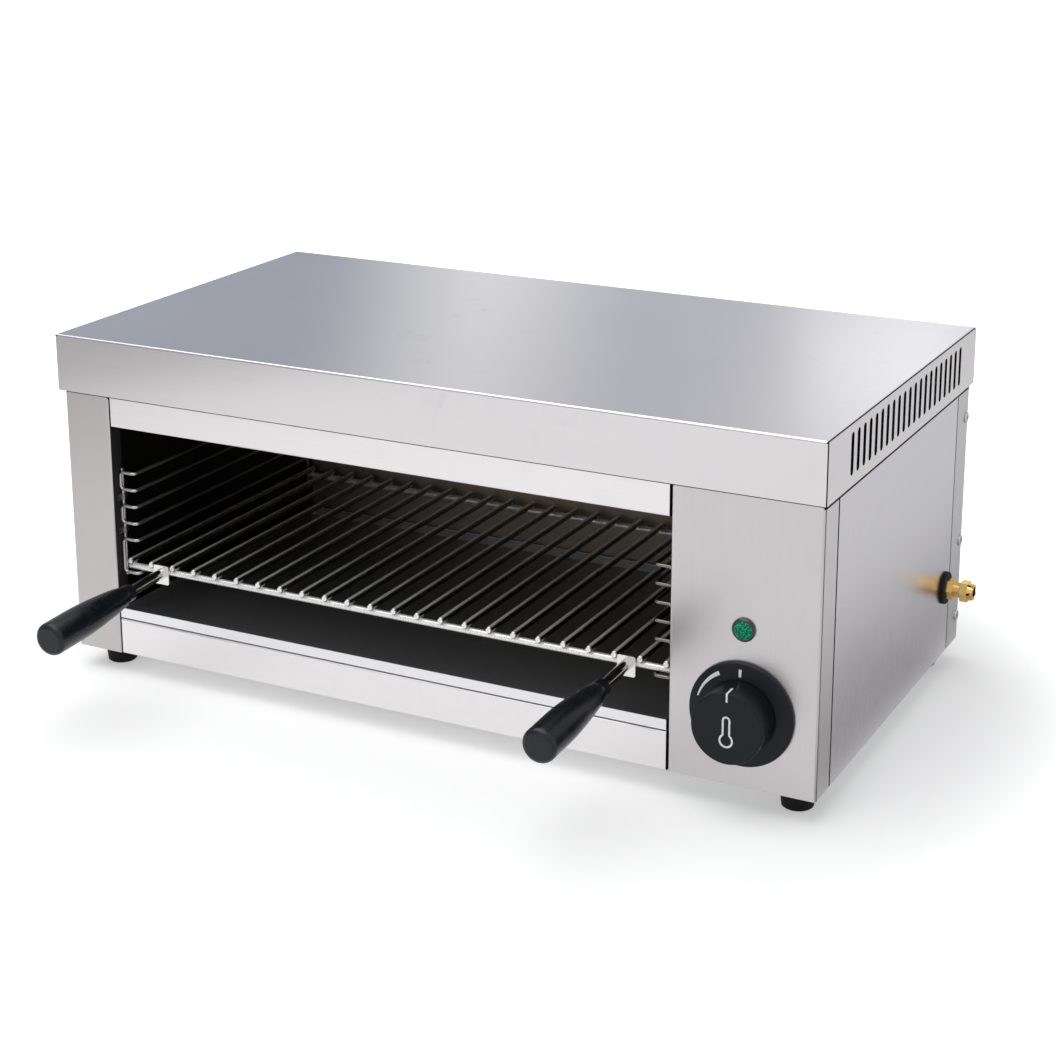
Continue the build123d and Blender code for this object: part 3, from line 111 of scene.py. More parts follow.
class Finish:
    """A node tree for one surface finish, or for the world's light."""

    def __init__(self, tree):
        self.tree = tree
        self.tree.nodes.clear()

    def node(self, kind, settings=None, sockets=None, out=0):
        """Adds a node, sets its settings, then its sockets, and returns one of its outputs."""
        made = self.tree.nodes.new(kind)
        for name, value in (settings or {}).items():
            if name == "stops":
                self.set_stops(made.color_ramp, value)
            else:
                setattr(made, name, value)
        for name, value in (sockets or {}).items():
            if isinstance(value, Value):
                self.tree.links.new(value.socket, made.inputs[name])
            else:
                made.inputs[name].default_value = value
        return Value(self, made.outputs[out]) if made.outputs else None

    def set_stops(self, ramp, stops):
        while len(ramp.elements) > len(stops):
            ramp.elements.remove(ramp.elements[-1])
        while len(ramp.elements) < len(stops):
            ramp.elements.new(1.0)
        for element, (position, colour) in zip(ramp.elements, stops):
            element.position = position
            element.color = rgba(colour)

    def place(self):
        """Position on the piece in metres, which stays with the piece when it moves."""
        return self.node("ShaderNodeTexCoord", None, None, "Object")

    def along(self, vector, axis):
        """One axis of a vector, as a number."""
        return self.node("ShaderNodeSeparateXYZ", None, {0: vector}, axis)

    def stretched(self, vector, scale):
        """A vector with each of its axes scaled by its own number."""
        return self.node("ShaderNodeVectorMath", {"operation": "MULTIPLY"}, {0: vector, 1: scale})

    def noise(self, vector, scale, detail=2.0, rough=0.5, twist=0.0):
        sockets = {
            "Vector": vector, "Scale": scale, "Detail": detail, "Roughness": rough, "Distortion": twist,
        }
        return self.node("ShaderNodeTexNoise", None, sockets, "Fac")

    def spread(self, value, low, high, to_low=0.0, to_high=1.0):
        """A number moved smoothly from one range to another."""
        settings = {"interpolation_type": "SMOOTHSTEP"}
        sockets = {"Value": value, 1: low, 2: high, 3: to_low, 4: to_high}
        return self.node("ShaderNodeMapRange", settings, sockets)

    def blend(self, amount, first, second):
        """A colour between two others."""
        sockets = {0: amount}
        for slot, colour in ((6, first), (7, second)):
            sockets[slot] = colour if isinstance(colour, Value) else rgba(colour)
        return self.node("ShaderNodeMix", {"data_type": "RGBA"}, sockets, 2)

    def shade(self, colour, amount):
        """A colour made darker or lighter by a number."""
        grey = self.node("ShaderNodeCombineXYZ", None, {0: amount, 1: amount, 2: amount})
        return self.node(
            "ShaderNodeMix",
            {"data_type": "RGBA", "blend_type": "MULTIPLY"},
            {0: 1.0, 6: colour if isinstance(colour, Value) else rgba(colour), 7: grey},
            2,
        )

    def relief(self, height, depth, strength=1.0):
        """A surface direction that follows small changes of height, in metres."""
        return self.node("ShaderNodeBump", None, {"Height": height, "Distance": depth, "Strength": strength})


def rgba(colour):
    return (colour[0], colour[1], colour[2], 1.0)


def finish(name, colour=(0.5, 0.5, 0.5), **constants):
    """Starts a material on one Principled shader. Returns the material, its tree and that shader."""
    material = bpy.data.materials.new(name)
    material.use_nodes = True
    tree = Finish(material.node_tree)
    tree.node("ShaderNodeBsdfPrincipled")
    shader = material.node_tree.nodes[-1]
    tree.node("ShaderNodeOutputMaterial", None, {"Surface": Value(tree, shader.outputs[0])})
    shader.inputs["Base Color"].default_value = rgba(colour)
    for label, value in constants.items():
        shader.inputs[label.replace("_", " ")].default_value = value
    return material, tree, shader


def feed(tree, shader, **sockets):
    """Links what varies over the surface to the shader."""
    for label, value in sockets.items():
        tree.tree.links.new(value.socket, shader.inputs[label.replace("_", " ")])


# ---------------------------------------------------------------- finishes
def hood_painted_shade(tree, place):
    """Painted shade on the hood: its inside, the walls of its slots and the lines round its end plates are
    painted dark.
    """
    middle, size = middle_and_size("hood_cover")
    offset = tree.node("ShaderNodeVectorMath", {"operation": "SUBTRACT"}, {0: place, 1: middle})
    from_end = size.x / 2 - abs(tree.along(offset, "X"))
    from_front = size.y / 2 - abs(tree.along(offset, "Y"))
    from_top = size.z / 2 - tree.along(offset, "Z")
    skin, wall_reach = 0.9 * MM, 1.3 * MM
    plain_edge, plain_corner = 6.0 * MM, 12.0 * MM
    line_half, top_reach, corner_reach = 0.76 * GROOVE, 3.2 * MM, 2.4 * MM
    facing = tree.node("ShaderNodeNewGeometry", None, None, "Normal")
    inside = (from_end.smaller(from_front).smaller(from_top) > skin) * 1.0
    in_slot_row = (from_top > plain_edge) * (from_top < size.z - plain_edge) * (from_front > plain_corner)
    cut_wall = (abs(tree.along(facing, "X")) < 0.6) * (from_end < wall_reach) * in_slot_row
    top_line = (abs(from_end - from_top) < line_half) * (from_end + from_top < top_reach)
    corner_line = (abs(from_end - from_front) < line_half) * (from_end + from_front < corner_reach)
    return inside.larger(cut_wall).larger(top_line).larger(corner_line)


def eave_painted_shade(tree, place):
    """Painted shade: a dark line where a panel runs up under the hood, and dark on the sideways faces of the
    folds at the cavity's mouth.
    """
    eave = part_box("hood_cover")[0][2]
    facing = abs(tree.along(tree.node("ShaderNodeNewGeometry", None, None, "Normal"), "X"))
    under = eave - tree.along(place, "Z") - facing * EAVE_LINE_SIDE
    shade = tree.spread(under, EAVE_LINE, 0.8 * EAVE_LINE)
    fold, mouth_shade = 1.2 * MM, 0.9
    from_middle = abs(tree.along(place, "X") - (OPEN_LEFT + OPEN_RIGHT) / 2)
    from_mouth = abs(from_middle - (OPEN_RIGHT - OPEN_LEFT) / 2)
    shaded_mouth_fold = (from_mouth < fold) * (facing > 0.8)
    return shade.larger(shaded_mouth_fold * mouth_shade)


def side_painted_shade(tree, place):
    """Painted shade on the right side: dark lines beside the control panel's wrap and the rear panel's
    flange, and the line under the hood.
    """
    wrap_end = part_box("control_panel")[1][1]
    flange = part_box("rear_panel")[0][1]
    gap_middle, rear_dark = 0.9 * MM, 0.85
    back = tree.along(place, "Y")
    front_joint = tree.spread(abs(back - (wrap_end + gap_middle)), 1.6 * MM, 1.1 * MM)
    rear_joint = tree.spread(abs(back - flange), 1.5 * MM, 0.9 * MM)
    return eave_painted_shade(tree, place).larger(front_joint).larger(rear_dark * rear_joint)


def panel_corner_painted_shade(tree, place):
    """The control panel's folded corner, with a fine line of painted shade beside it."""
    low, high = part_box("control_panel")
    bend, wrap_skin, corner_shade = 1.9 * MM, 0.3 * MM, 0.75
    beside = tree.spread(abs(tree.along(place, "Y") - (low[1] + bend)), 1.1 * MM, 0.7 * MM)
    on_wrap = tree.along(place, "X") > high[0] - wrap_skin
    return eave_painted_shade(tree, place).larger(corner_shade * beside * on_wrap)


def strip_end_painted_shade(tree, place):
    """The long front panels' ends, painted dark as shade along the open line beside the columns."""
    middle, size = middle_and_size("lower_front_panel")
    across = abs(tree.along(place, "X") - middle.x)
    return eave_painted_shade(tree, place).larger(tree.spread(size.x / 2 - across, 0.8 * MM, 0.5 * MM))


def tray_painted_shade(tree, place):
    """The tray's inside, painted darker as the shade of the cavity, with its rim kept light."""
    middle, size = middle_and_size("drip_tray")
    offset = tree.node("ShaderNodeVectorMath", {"operation": "SUBTRACT"}, {0: place, 1: middle})
    from_end = size.x / 2 - abs(tree.along(offset, "X"))
    from_front = size.y / 2 - abs(tree.along(offset, "Y"))
    from_top = size.z / 2 - tree.along(offset, "Z")
    inside_shade, rim = 0.62, 0.5 * MM
    return inside_shade * (from_end.smaller(from_front).smaller(from_top) > rim)


def brushed_sheet(name, tone, grain="level", rough=0.3, depth=0.00004, smudge=0.05, painted_shade_places=None):
    """Brushed stainless sheet. Its fine grain runs level or upright, with faint broad clouds."""
    material, tree, shader = finish(name, tone, Metallic=1.0)
    place = tree.place()
    fine, long_way = 2600.0, 14.0
    facing = tree.node("ShaderNodeNewGeometry", None, None, "Normal")
    flat = tree.spread(abs(tree.along(facing, "Z")), 0.5, 0.8)
    if grain == "level":
        upright_faces = tree.stretched(place, (long_way, long_way, fine))
        level_faces = tree.stretched(place, (long_way, fine, long_way))
    else:
        upright_faces = tree.stretched(place, (fine, fine, long_way))
        level_faces = tree.stretched(place, (fine, long_way, long_way))
    hairs = tree.noise(upright_faces, 1.0, 3.0, 0.6)
    hairs = hairs + flat * (tree.noise(level_faces, 1.0, 3.0, 0.6) - hairs)
    broad = tree.noise(tree.stretched(place, (1.0, 1.6, 2.4)), 5.5, 3.0, 0.5, 0.4)
    marks = tree.spread(tree.noise(place, 34.0, 4.0, 0.62, 1.2), 0.55, 0.8)
    light = 0.93 + 0.1 * hairs + 0.05 * broad - smudge * 0.5 * marks
    roughness = rough + 0.1 * (hairs - 0.5) + 0.06 * (broad - 0.5) + smudge * marks
    # Where the mask says, shade is painted into the sheet's colour and the sheet is made rougher.
    if painted_shade_places:
        painted_dark = painted_shade_places(tree, place)
        light = light * (1.0 - 0.985 * painted_dark)
        roughness = roughness + 0.4 * painted_dark
    feed(
        tree,
        shader,
        Base_Color=tree.shade(tone, light),
        Roughness=roughness,
        Normal=tree.relief(hairs, depth, 0.35),
    )
    return material


def cavity_sheet(name, tone, rough=0.34):
    """Cavity liner in the dark tone it is given, with a faint brown bloom."""
    material, tree, shader = finish(name, tone, Metallic=1.0)
    place = tree.place()
    hairs = tree.noise(tree.stretched(place, (18.0, 18.0, 1400.0)), 1.0, 3.0, 0.6)
    bloom = tree.noise(place, 9.0, 4.0, 0.55, 0.8)
    spots = tree.spread(tree.noise(place, 120.0, 3.0, 0.6), 0.6, 0.75)
    warm = tree.blend(tree.spread(bloom, 0.4, 0.7), tone, (tone[0] * 1.25, tone[1] * 1.08, tone[2] * 0.9))
    feed(
        tree,
        shader,
        Base_Color=tree.shade(warm, 0.85 + 0.25 * hairs - 0.15 * spots),
        Roughness=rough + 0.16 * (bloom - 0.4) + 0.1 * spots,
        Normal=tree.relief(hairs, 0.00005, 0.3),
    )
    return material


def bright_wire(name, tone, rough=0.14, metal=1.0):
    """Polished wire, faintly browned, and darker towards the back of the cavity."""
    material, tree, shader = finish(name, tone, Metallic=metal)
    place = tree.place()
    drawn = tree.noise(place, 1500.0, 3.0, 0.6)
    patches = tree.noise(place, 14.0, 2.0, 0.5, 0.4)
    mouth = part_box("left_side_panel")[0][1]
    even_depth, darkest_depth = 30.0 * MM, 80.0 * MM
    depth_darkening = tree.spread(tree.along(place, "Y"), mouth + even_depth, mouth + darkest_depth, 1.0, 0.5)
    tint = tree.blend(tree.spread(patches, 0.42, 0.8), tone, (tone[0] * 0.86, tone[1] * 0.8, tone[2] * 0.72))
    feed(
        tree,
        shader,
        Base_Color=tree.shade(tint, depth_darkening * (0.94 + 0.12 * drawn)),
        Roughness=rough + 0.1 * patches + 0.05 * drawn,
        Normal=tree.relief(drawn, 0.00002, 0.25),
    )
    return material


def painted_rack_wire(name):
    """Rods painted dark, partly with heat tint and partly as shade, with painted highlights along their
    tops, at their cut ends and on the cross rods.
    """
    material, tree, shader = finish(name, (0.5, 0.5, 0.5))
    place = tree.place()
    low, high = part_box("rack_grid")
    facing = tree.node("ShaderNodeNewGeometry", None, None, "Normal")
    drawn = tree.noise(tree.stretched(place, (1400.0, 60.0, 1400.0)), 1.0, 3.0, 0.6)
    heated = tree.noise(place, 12.0, 3.0, 0.5, 0.4)
    back = tree.along(place, "Y")
    highlight_start, highlight_full, cross_half, cross_top = 0.75 * MM, 0.2 * MM, 2.7 * MM, 2.4 * MM
    top = tree.spread(tree.along(place, "Z"), high[2] - highlight_start, high[2] - highlight_full)
    ends = abs(tree.along(facing, "Y")) > 0.75
    from_middle = abs(back - (low[1] + high[1]) / 2)
    cross = abs(from_middle - ((high[1] - low[1]) / 2 - CROSS_ROD_INSET)) < cross_half
    level = tree.along(place, "Z") < high[2] - cross_top
    # Painted highlight: the tops, the cut ends and the cross rods are painted bright.
    painted_highlight = top.larger(ends * 1.0).larger(cross * level)
    painted_dark = tree.blend(tree.spread(heated, 0.35, 0.7), (0.17, 0.165, 0.16), (0.13, 0.11, 0.09))
    feed(
        tree,
        shader,
        Base_Color=tree.shade(tree.blend(painted_highlight, painted_dark, (0.88, 0.87, 0.85)), 0.94 + 0.12 * drawn),
        Metallic=1.0 - 0.5 * painted_highlight,
        Roughness=0.24 + 0.08 * drawn,
        Normal=tree.relief(drawn, 0.00002, 0.25),
    )
    return material


def dull_metal(name, tone, rough=0.5, scale=300.0):
    """Plated or oxidised metal with small mottling."""
    material, tree, shader = finish(name, tone, Metallic=1.0)
    place = tree.place()
    mottle = tree.noise(place, scale, 4.0, 0.6, 0.5)
    broad = tree.noise(place, scale * 0.08, 3.0, 0.55)
    feed(
        tree,
        shader,
        Base_Color=tree.shade(tone, 0.8 + 0.25 * mottle + 0.15 * broad),
        Roughness=rough + 0.18 * (mottle - 0.5),
        Normal=tree.relief(mottle, 0.00005, 0.3),
    )
    return material


def moulded_plastic(name, tone, rough=0.34, grain=0.00005, coat=0.0, shine=0.5):
    """Moulded plastic with a very fine skin and faint handling marks."""
    material, tree, shader = finish(
        name, tone, Coat_Weight=coat, Coat_Roughness=0.12, Specular_IOR_Level=shine
    )
    place = tree.place()
    skin = tree.noise(place, 2200.0, 2.0, 0.6)
    handled = tree.spread(tree.noise(place, 70.0, 3.0, 0.6, 0.7), 0.45, 0.75)
    feed(
        tree,
        shader,
        Base_Color=tree.shade(tone, 0.9 + 0.15 * skin + 0.12 * handled),
        Roughness=rough + 0.06 * (skin - 0.5) + 0.07 * handled,
        Normal=tree.relief(skin, grain, 0.4),
    )
    return material


def soft_rubber(name, tone, rough=0.62):
    material, tree, shader = finish(name, tone, Specular_IOR_Level=0.1)
    place = tree.place()
    pores = tree.noise(place, 1500.0, 3.0, 0.6)
    dust = tree.spread(tree.noise(place, 90.0, 4.0, 0.6), 0.5, 0.8)
    feed(
        tree,
        shader,
        Base_Color=tree.blend(dust * 0.25, tone, (0.09, 0.088, 0.085)),
        Roughness=rough + 0.12 * dust,
        Normal=tree.relief(pores, 0.00008, 0.4),
    )
    return material


def faceted_lens(name):
    """Green lens moulded with small prisms on its inside; random prisms are painted lighter with a faint
    glow, as painted glints.
    """
    material, tree, shader = finish(
        name, (0.0, 0.2, 0.1), Coat_Weight=0.1, Coat_Roughness=0.04, Roughness=0.2, Specular_IOR_Level=0.08
    )
    prisms = {"Vector": tree.place(), "Scale": 1500.0}
    facet = tree.along(tree.node("ShaderNodeTexVoronoi", None, prisms, "Color"), "X")
    edge = tree.node("ShaderNodeTexVoronoi", {"feature": "DISTANCE_TO_EDGE"}, prisms)
    painted_glint = tree.spread(facet, 0.25, 0.95)
    green = tree.blend(painted_glint, (0.0, 0.11, 0.055), (0.01, 0.42, 0.22))
    feed(
        tree,
        shader,
        Base_Color=green,
        Emission_Color=tree.shade(green, 0.3 * painted_glint),
        Normal=tree.relief(tree.spread(edge, 0.0, 0.2), 0.0002, 0.6),
    )
    shader.inputs["Emission Strength"].default_value = 1.0
    return material


def wool_slab(name):
    material, tree, shader = finish(name, (0.62, 0.56, 0.42), Roughness=0.95)
    place = tree.place()
    fibres = tree.noise(tree.stretched(place, (300.0, 300.0, 900.0)), 1.0, 5.0, 0.7, 2.0)
    clumps = tree.noise(place, 40.0, 4.0, 0.6)
    feed(
        tree,
        shader,
        Base_Color=tree.blend(fibres, (0.42, 0.36, 0.24), (0.78, 0.72, 0.58)),
        Normal=tree.relief(fibres + clumps, 0.001, 0.7),
    )
    return material


def printed_mark(name, tone=(0.86, 0.87, 0.87)):
    material, tree, shader = finish(name, tone)
    place = tree.place()
    ink = tree.noise(place, 1800.0, 3.0, 0.6)
    worn = tree.noise(place, 160.0, 2.0, 0.5)
    feed(
        tree,
        shader,
        Base_Color=tree.shade(tone, 0.88 + 0.12 * ink + 0.06 * worn),
        Roughness=0.42 + 0.12 * ink,
        Normal=tree.relief(ink, 0.00002, 0.3),
    )
    return material


# One stainless steel in several tones, as painted light and shade: the front strips and the tray lighter,
# the columns darker.
HOOD_TONE = (0.665, 0.645, 0.655)
STRIP_LIT_TONE = (0.82, 0.80, 0.805)
PANEL_TONE = (0.60, 0.575, 0.58)
COLUMN_SHADED_TONE = (0.53, 0.505, 0.505)
SIDE_TONE = (0.61, 0.595, 0.625)
TRAY_LIT_TONE = (0.8, 0.8, 0.815)

finishes = {
    "hood_sheet": brushed_sheet("hood_sheet", HOOD_TONE, "level", 0.2, painted_shade_places=hood_painted_shade),
    "column_sheet": brushed_sheet("column_sheet", COLUMN_SHADED_TONE, "upright", 0.32, painted_shade_places=eave_painted_shade),
    "panel_sheet": brushed_sheet("panel_sheet", PANEL_TONE, "upright", 0.32, painted_shade_places=panel_corner_painted_shade),
    "side_sheet": brushed_sheet("side_sheet", SIDE_TONE, "upright", 0.26, 0.000008, 0.02, side_painted_shade),
    "front_strip_sheet": brushed_sheet(
        "front_strip_sheet", STRIP_LIT_TONE, "level", 0.33, painted_shade_places=strip_end_painted_shade
    ),
    "rear_sheet": brushed_sheet("rear_sheet", (0.56, 0.56, 0.565), "upright", 0.36, painted_shade_places=eave_painted_shade),
    "base_sheet": dull_metal("base_sheet", (0.5, 0.51, 0.52), 0.42, 160.0),
    # One liner steel in three tones: the left wall is painted near black as shade, the rear wall painted
    # lighter as light.
    "cavity_liner": cavity_sheet("cavity_liner", (0.118, 0.11, 0.101), 0.44),
    "rear_liner": cavity_sheet("rear_liner", (0.28, 0.262, 0.238), 0.5),
    "shaded_left_liner": cavity_sheet("shaded_left_liner", (0.028, 0.027, 0.026), 0.42),
    "tray_sheet": brushed_sheet("tray_sheet", TRAY_LIT_TONE, "level", 0.3, 0.00001, 0.015, tray_painted_shade),
    "zinc_plate": dull_metal("zinc_plate", (0.62, 0.63, 0.64), 0.36, 240.0),
    "bracket_zinc": dull_metal("bracket_zinc", (0.78, 0.77, 0.75), 0.26, 240.0),
    "fired_sheath": dull_metal("fired_sheath", (0.12, 0.11, 0.1), 0.6, 420.0),
    "clip_plate": dull_metal("clip_plate", (0.2, 0.2, 0.2), 0.45, 240.0),
    "rack_wire": painted_rack_wire("rack_wire"),
    "weld_metal": bright_wire("weld_metal", (0.6, 0.59, 0.57), 0.3),
    "rail_wire": bright_wire("rail_wire", (0.46, 0.455, 0.45), 0.22, 0.9),
    # The right rail's wire is the same as the left's, painted darker as shade.
    "shaded_rail_wire": bright_wire("shaded_rail_wire", (0.24, 0.225, 0.21), 0.26),
    "shaft_tube": bright_wire("shaft_tube", (0.7, 0.69, 0.68), 0.1),
    "grip_plastic": moulded_plastic("grip_plastic", (0.008, 0.0095, 0.0125), 0.26, shine=0.35),
    "knob_plastic": moulded_plastic("knob_plastic", (0.008, 0.0095, 0.012), 0.3, shine=0.2),
    "bezel_plastic": moulded_plastic("bezel_plastic", (0.007, 0.0085, 0.011), 0.36, shine=0.22),
    "lamp_rim_plastic": moulded_plastic("lamp_rim_plastic", (0.008, 0.009, 0.01), 0.16, coat=0.4),
    "lens_green": faceted_lens("lens_green"),
    "cream_plastic": moulded_plastic("cream_plastic", (0.72, 0.66, 0.52), 0.5),
    "phial_copper": dull_metal("phial_copper", (0.72, 0.4, 0.25), 0.3, 260.0),
    "turned_brass": dull_metal("turned_brass", (0.78, 0.52, 0.18), 0.24, 500.0),
    "terminal_brass": dull_metal("terminal_brass", (0.72, 0.58, 0.3), 0.34, 400.0),
    "lead_sleeve": soft_rubber("lead_sleeve", (0.22, 0.16, 0.12), 0.7),
    "black_rubber": soft_rubber("black_rubber", (0.016, 0.016, 0.017)),
    "screw_zinc": dull_metal("screw_zinc", (0.5, 0.5, 0.5), 0.22, 500.0),
    "recess_black": dull_metal("recess_black", (0.03, 0.03, 0.03), 0.6, 900.0),
    "slab_wool": wool_slab("slab_wool"),
    "white_print": printed_mark("white_print"),
}

wearers = {
    "hood_sheet": "hood_cover",
    "column_sheet": "left_side_panel",
    "panel_sheet": "control_panel",
    "side_sheet": "right_side_panel",
    "front_strip_sheet": "upper_front_panel lower_front_panel",
    "rear_sheet": "rear_panel",
    "base_sheet": "base_panel heat_shield",
    "cavity_liner": "cavity_right_wall cavity_floor cavity_roof",
    "rear_liner": "cavity_rear_wall",
    "shaded_left_liner": "cavity_left_wall",
    "tray_sheet": "drip_tray",
    "zinc_plate": "element_hangers element_nuts phial_clips earth_stud lamp_nut",
    "clip_plate": "rail_clips",
    "bracket_zinc": "handle_brackets",
    "fired_sheath": "front_element rear_element",
    "rack_wire": "rack_grid",
    "rail_wire": "left_rail",
    "shaded_rail_wire": "right_rail",
    "shaft_tube": "handle_shafts",
    "grip_plastic": "left_grip right_grip",
    "knob_plastic": "knob_cap",
    "bezel_plastic": "knob_bezel",
    "lamp_rim_plastic": "lamp_housing",
    "lens_green": "lamp_lens",
    "cream_plastic": "thermostat terminal_block",
    "phial_copper": "thermostat_phial",
    "turned_brass": "gland_body gland_nut gland_lock_nut",
    "terminal_brass": "element_terminals terminal_screws",
    "lead_sleeve": "internal_leads",
    "black_rubber": "gland_washer gland_seal feet",
    "screw_zinc": "thermostat_spindle thermostat_screws side_screws hood_screws foot_screws foot_nuts",
    "slab_wool": "insulation",
}
for finish_name, wearing in wearers.items():
    for name in wearing.split():
        worn = nodes[name].data.materials
        worn.clear()
        worn.append(finishes[finish_name])


# ---------------------------------------------------------------- making pieces
def piece_of(name, vertices, faces, finish_name, body, slot, smooth=False):
    """A mesh piece in the frame's own metres, which rides on a body."""
    mesh = bpy.data.meshes.new(name)
    mesh.from_pydata([tuple(v) for v in vertices], [], faces)
    mesh.update()
    working = bmesh.new()
    working.from_mesh(mesh)
    bmesh.ops.remove_doubles(working, verts=working.verts, dist=1e-7)
    bmesh.ops.recalc_face_normals(working, faces=working.faces)
    working.to_mesh(mesh)
    working.free()
    for polygon in mesh.polygons:
        polygon.use_smooth = smooth
    piece = bpy.data.objects.new(name, mesh)
    bpy.context.scene.collection.objects.link(piece)
    mesh.materials.append(finishes[finish_name])
    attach(piece, body)
    return piece


def ribbon(rows):
    """Vertices and faces of a closed bar through rows of four corners each."""
    vertices = [corner for row in rows for corner in row]
    faces = [(0, 1, 2, 3)]
    for k in range(len(rows) - 1):
        a, b = 4 * k, 4 * k + 4
        faces += [(a + i, a + (i + 1) % 4, b + (i + 1) % 4, b + i) for i in range(4)]
    last = 4 * len(rows) - 4
    faces.append((last + 3, last + 2, last + 1, last))
    return vertices, faces


def prism(outline, start, end, depth_axis="x"):
    """A closed bar with an outline of two coordinates, drawn out along the third."""
    count = len(outline)
    order = {"x": (2, 0, 1), "y": (0, 2, 1), "z": (0, 1, 2)}[depth_axis]
    vertices = []
    for depth in (start, end):
        for across, up in outline:
            point = (across, up, depth)
            vertices.append(tuple(point[i] for i in order))
    faces = [tuple(range(count)), tuple(range(2 * count - 1, count - 1, -1))]
    faces += [(i, i + count, (i + 1) % count + count, (i + 1) % count) for i in range(count)]
    return vertices, faces


def cut_hood():
    """The hood with its full slots and the open lines round its end plates."""
    low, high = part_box("hood_cover")
    slot_wide, slot_long, pitch, count = 5.7 * MM, 29.6 * MM, 12.1 * MM, 21
    first, up = low[1] + 46.8 * MM, low[2] + 22.4 * MM
    outside, through = 1.0 * MM, 2.5 * MM
    clear, under_top = 2.0 * MM, 2.0 * MM
    cuts = []
    for k in range(count):
        y = first + pitch * k
        outline = []
        for end, turns in ((1, range(-6, 7)), (-1, range(6, -7, -1))):
            for turn in turns:
                angle = math.pi / 2 * turn / 6
                side = slot_wide / 2 * math.sin(angle)
                reach = (slot_long - slot_wide) / 2 + slot_wide / 2 * math.cos(angle)
                outline.append((y + side, up + end * reach))
        for x, inward in ((low[0], 1), (high[0], -1)):
            cuts.append(prism(outline, x - inward * outside, x + inward * through))
    top_reach, corner_reach, half = 1.35 * MM, 1.05 * MM, GROOVE / 2
    for x, inward in ((low[0], 1), (high[0], -1)):
        top_cut = ((-clear, -half), (-clear, half), (top_reach, half), (top_reach, -half))
        across = [
            (x + inward * (reach + side) * DIAGONAL, high[2] - (reach - side) * DIAGONAL)
            for reach, side in top_cut
        ]
        cuts.append(prism(across, low[1] - outside, high[1] + outside, "y"))
        for y, back in ((low[1], 1), (high[1], -1)):
            corner_cut = ((-clear, -half), (-clear, half), (corner_reach, half), (corner_reach, -half))
            across = [
                (x + inward * (reach + side) * DIAGONAL, y + back * (reach - side) * DIAGONAL)
                for reach, side in corner_cut
            ]
            cuts.append(prism(across, low[2] - outside, high[2] - under_top, "z"))
    sheet = nodes["hood_cover"].data
    hood = piece_of(
        "hood_shell",
        [vertex.co for vertex in sheet.vertices],
        [tuple(polygon.vertices) for polygon in sheet.polygons],
        "hood_sheet",
        "casing",
        "casing_steel",
        smooth=True,
    )
    cutter = bpy.data.objects.new("hood_cutter", bpy.data.meshes.new("hood_cutter"))
    vertices, faces = joined(*cuts)
    cutter.data.from_pydata(vertices, [], faces)
    working = bmesh.new()
    working.from_mesh(cutter.data)
    bmesh.ops.recalc_face_normals(working, faces=working.faces)
    working.to_mesh(cutter.data)
    working.free()
    bpy.context.scene.collection.objects.link(cutter)
    carve = hood.modifiers.new("slots", "BOOLEAN")
    carve.operation, carve.solver, carve.object = "DIFFERENCE", "EXACT", cutter
    carve.use_self = True
    bpy.context.view_layer.update()
    cut = bpy.data.meshes.new_from_object(hood.evaluated_get(bpy.context.evaluated_depsgraph_get()))
    hood.modifiers.clear()
    hood.data = cut
    for polygon in cut.polygons:
        polygon.use_smooth = True
    cut.set_sharp_from_angle(angle=math.radians(28.0))
    bpy.data.objects.remove(cutter)
    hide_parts("hood_cover")


# The marks lie on the knob and its bezel like a printed film, this far proud and this deep in.
PRINT_PROUD = 0.06 * MM
PRINT_DEPTH = 0.1 * MM

knob_middle, knob_size = middle_and_size("knob_cap")
knob_x, knob_z = knob_middle.x, knob_middle.z
knob_front = knob_middle.y - knob_size.y / 2
knob_radius = knob_size.z / 2
KNOB_EDGE = 0.8 * MM


def joined(*parts):
    """Several sets of vertices and faces as one."""
    vertices, faces = [], []
    for part_vertices, part_faces in parts:
        faces += [tuple(i + len(vertices) for i in face) for face in part_faces]
        vertices += part_vertices
    return vertices, faces


def ring_of_rows(rows):
    """A closed bar whose last row joins its first."""
    vertices = [corner for row in rows for corner in row]
    count = len(rows)
    faces = []
    for k in range(count):
        a, b = 4 * k, 4 * ((k + 1) % count)
        faces += [(a + i, a + (i + 1) % 4, b + (i + 1) % 4, b + i) for i in range(4)]
    return vertices, faces


def thermometer_outline():
    """Points of the thermometer sign, across and up from the knob's middle."""
    bulb_up, bulb, stem, top = -8.1 * MM, 4.4 * MM, 2.3 * MM, 6.1 * MM
    open_angle = math.asin(stem / bulb)
    points = []
    for k in range(33):
        angle = math.pi / 2 + open_angle + (2 * math.pi - 2 * open_angle) * k / 32
        points.append((bulb * math.cos(angle), bulb_up + bulb * math.sin(angle)))
    for k in range(13):
        angle = math.pi * k / 12
        points.append((stem * math.cos(angle), top + stem * math.sin(angle)))
    return points


def closed_rows(points, width, front):
    rows = []
    count = len(points)
    for k, (x, z) in enumerate(points):
        before, after = Vector(points[k - 1]), Vector(points[(k + 1) % count])
        way = (after - before).normalized()
        side = Vector((-way.y, way.x)) * width / 2
        corners = []
        for sign, y in ((1, -PRINT_PROUD), (-1, -PRINT_PROUD), (-1, PRINT_DEPTH), (1, PRINT_DEPTH)):
            corners.append((knob_x + x + sign * side.x, front + y, knob_z + z + sign * side.y))
        rows.append(corners)
    return rows


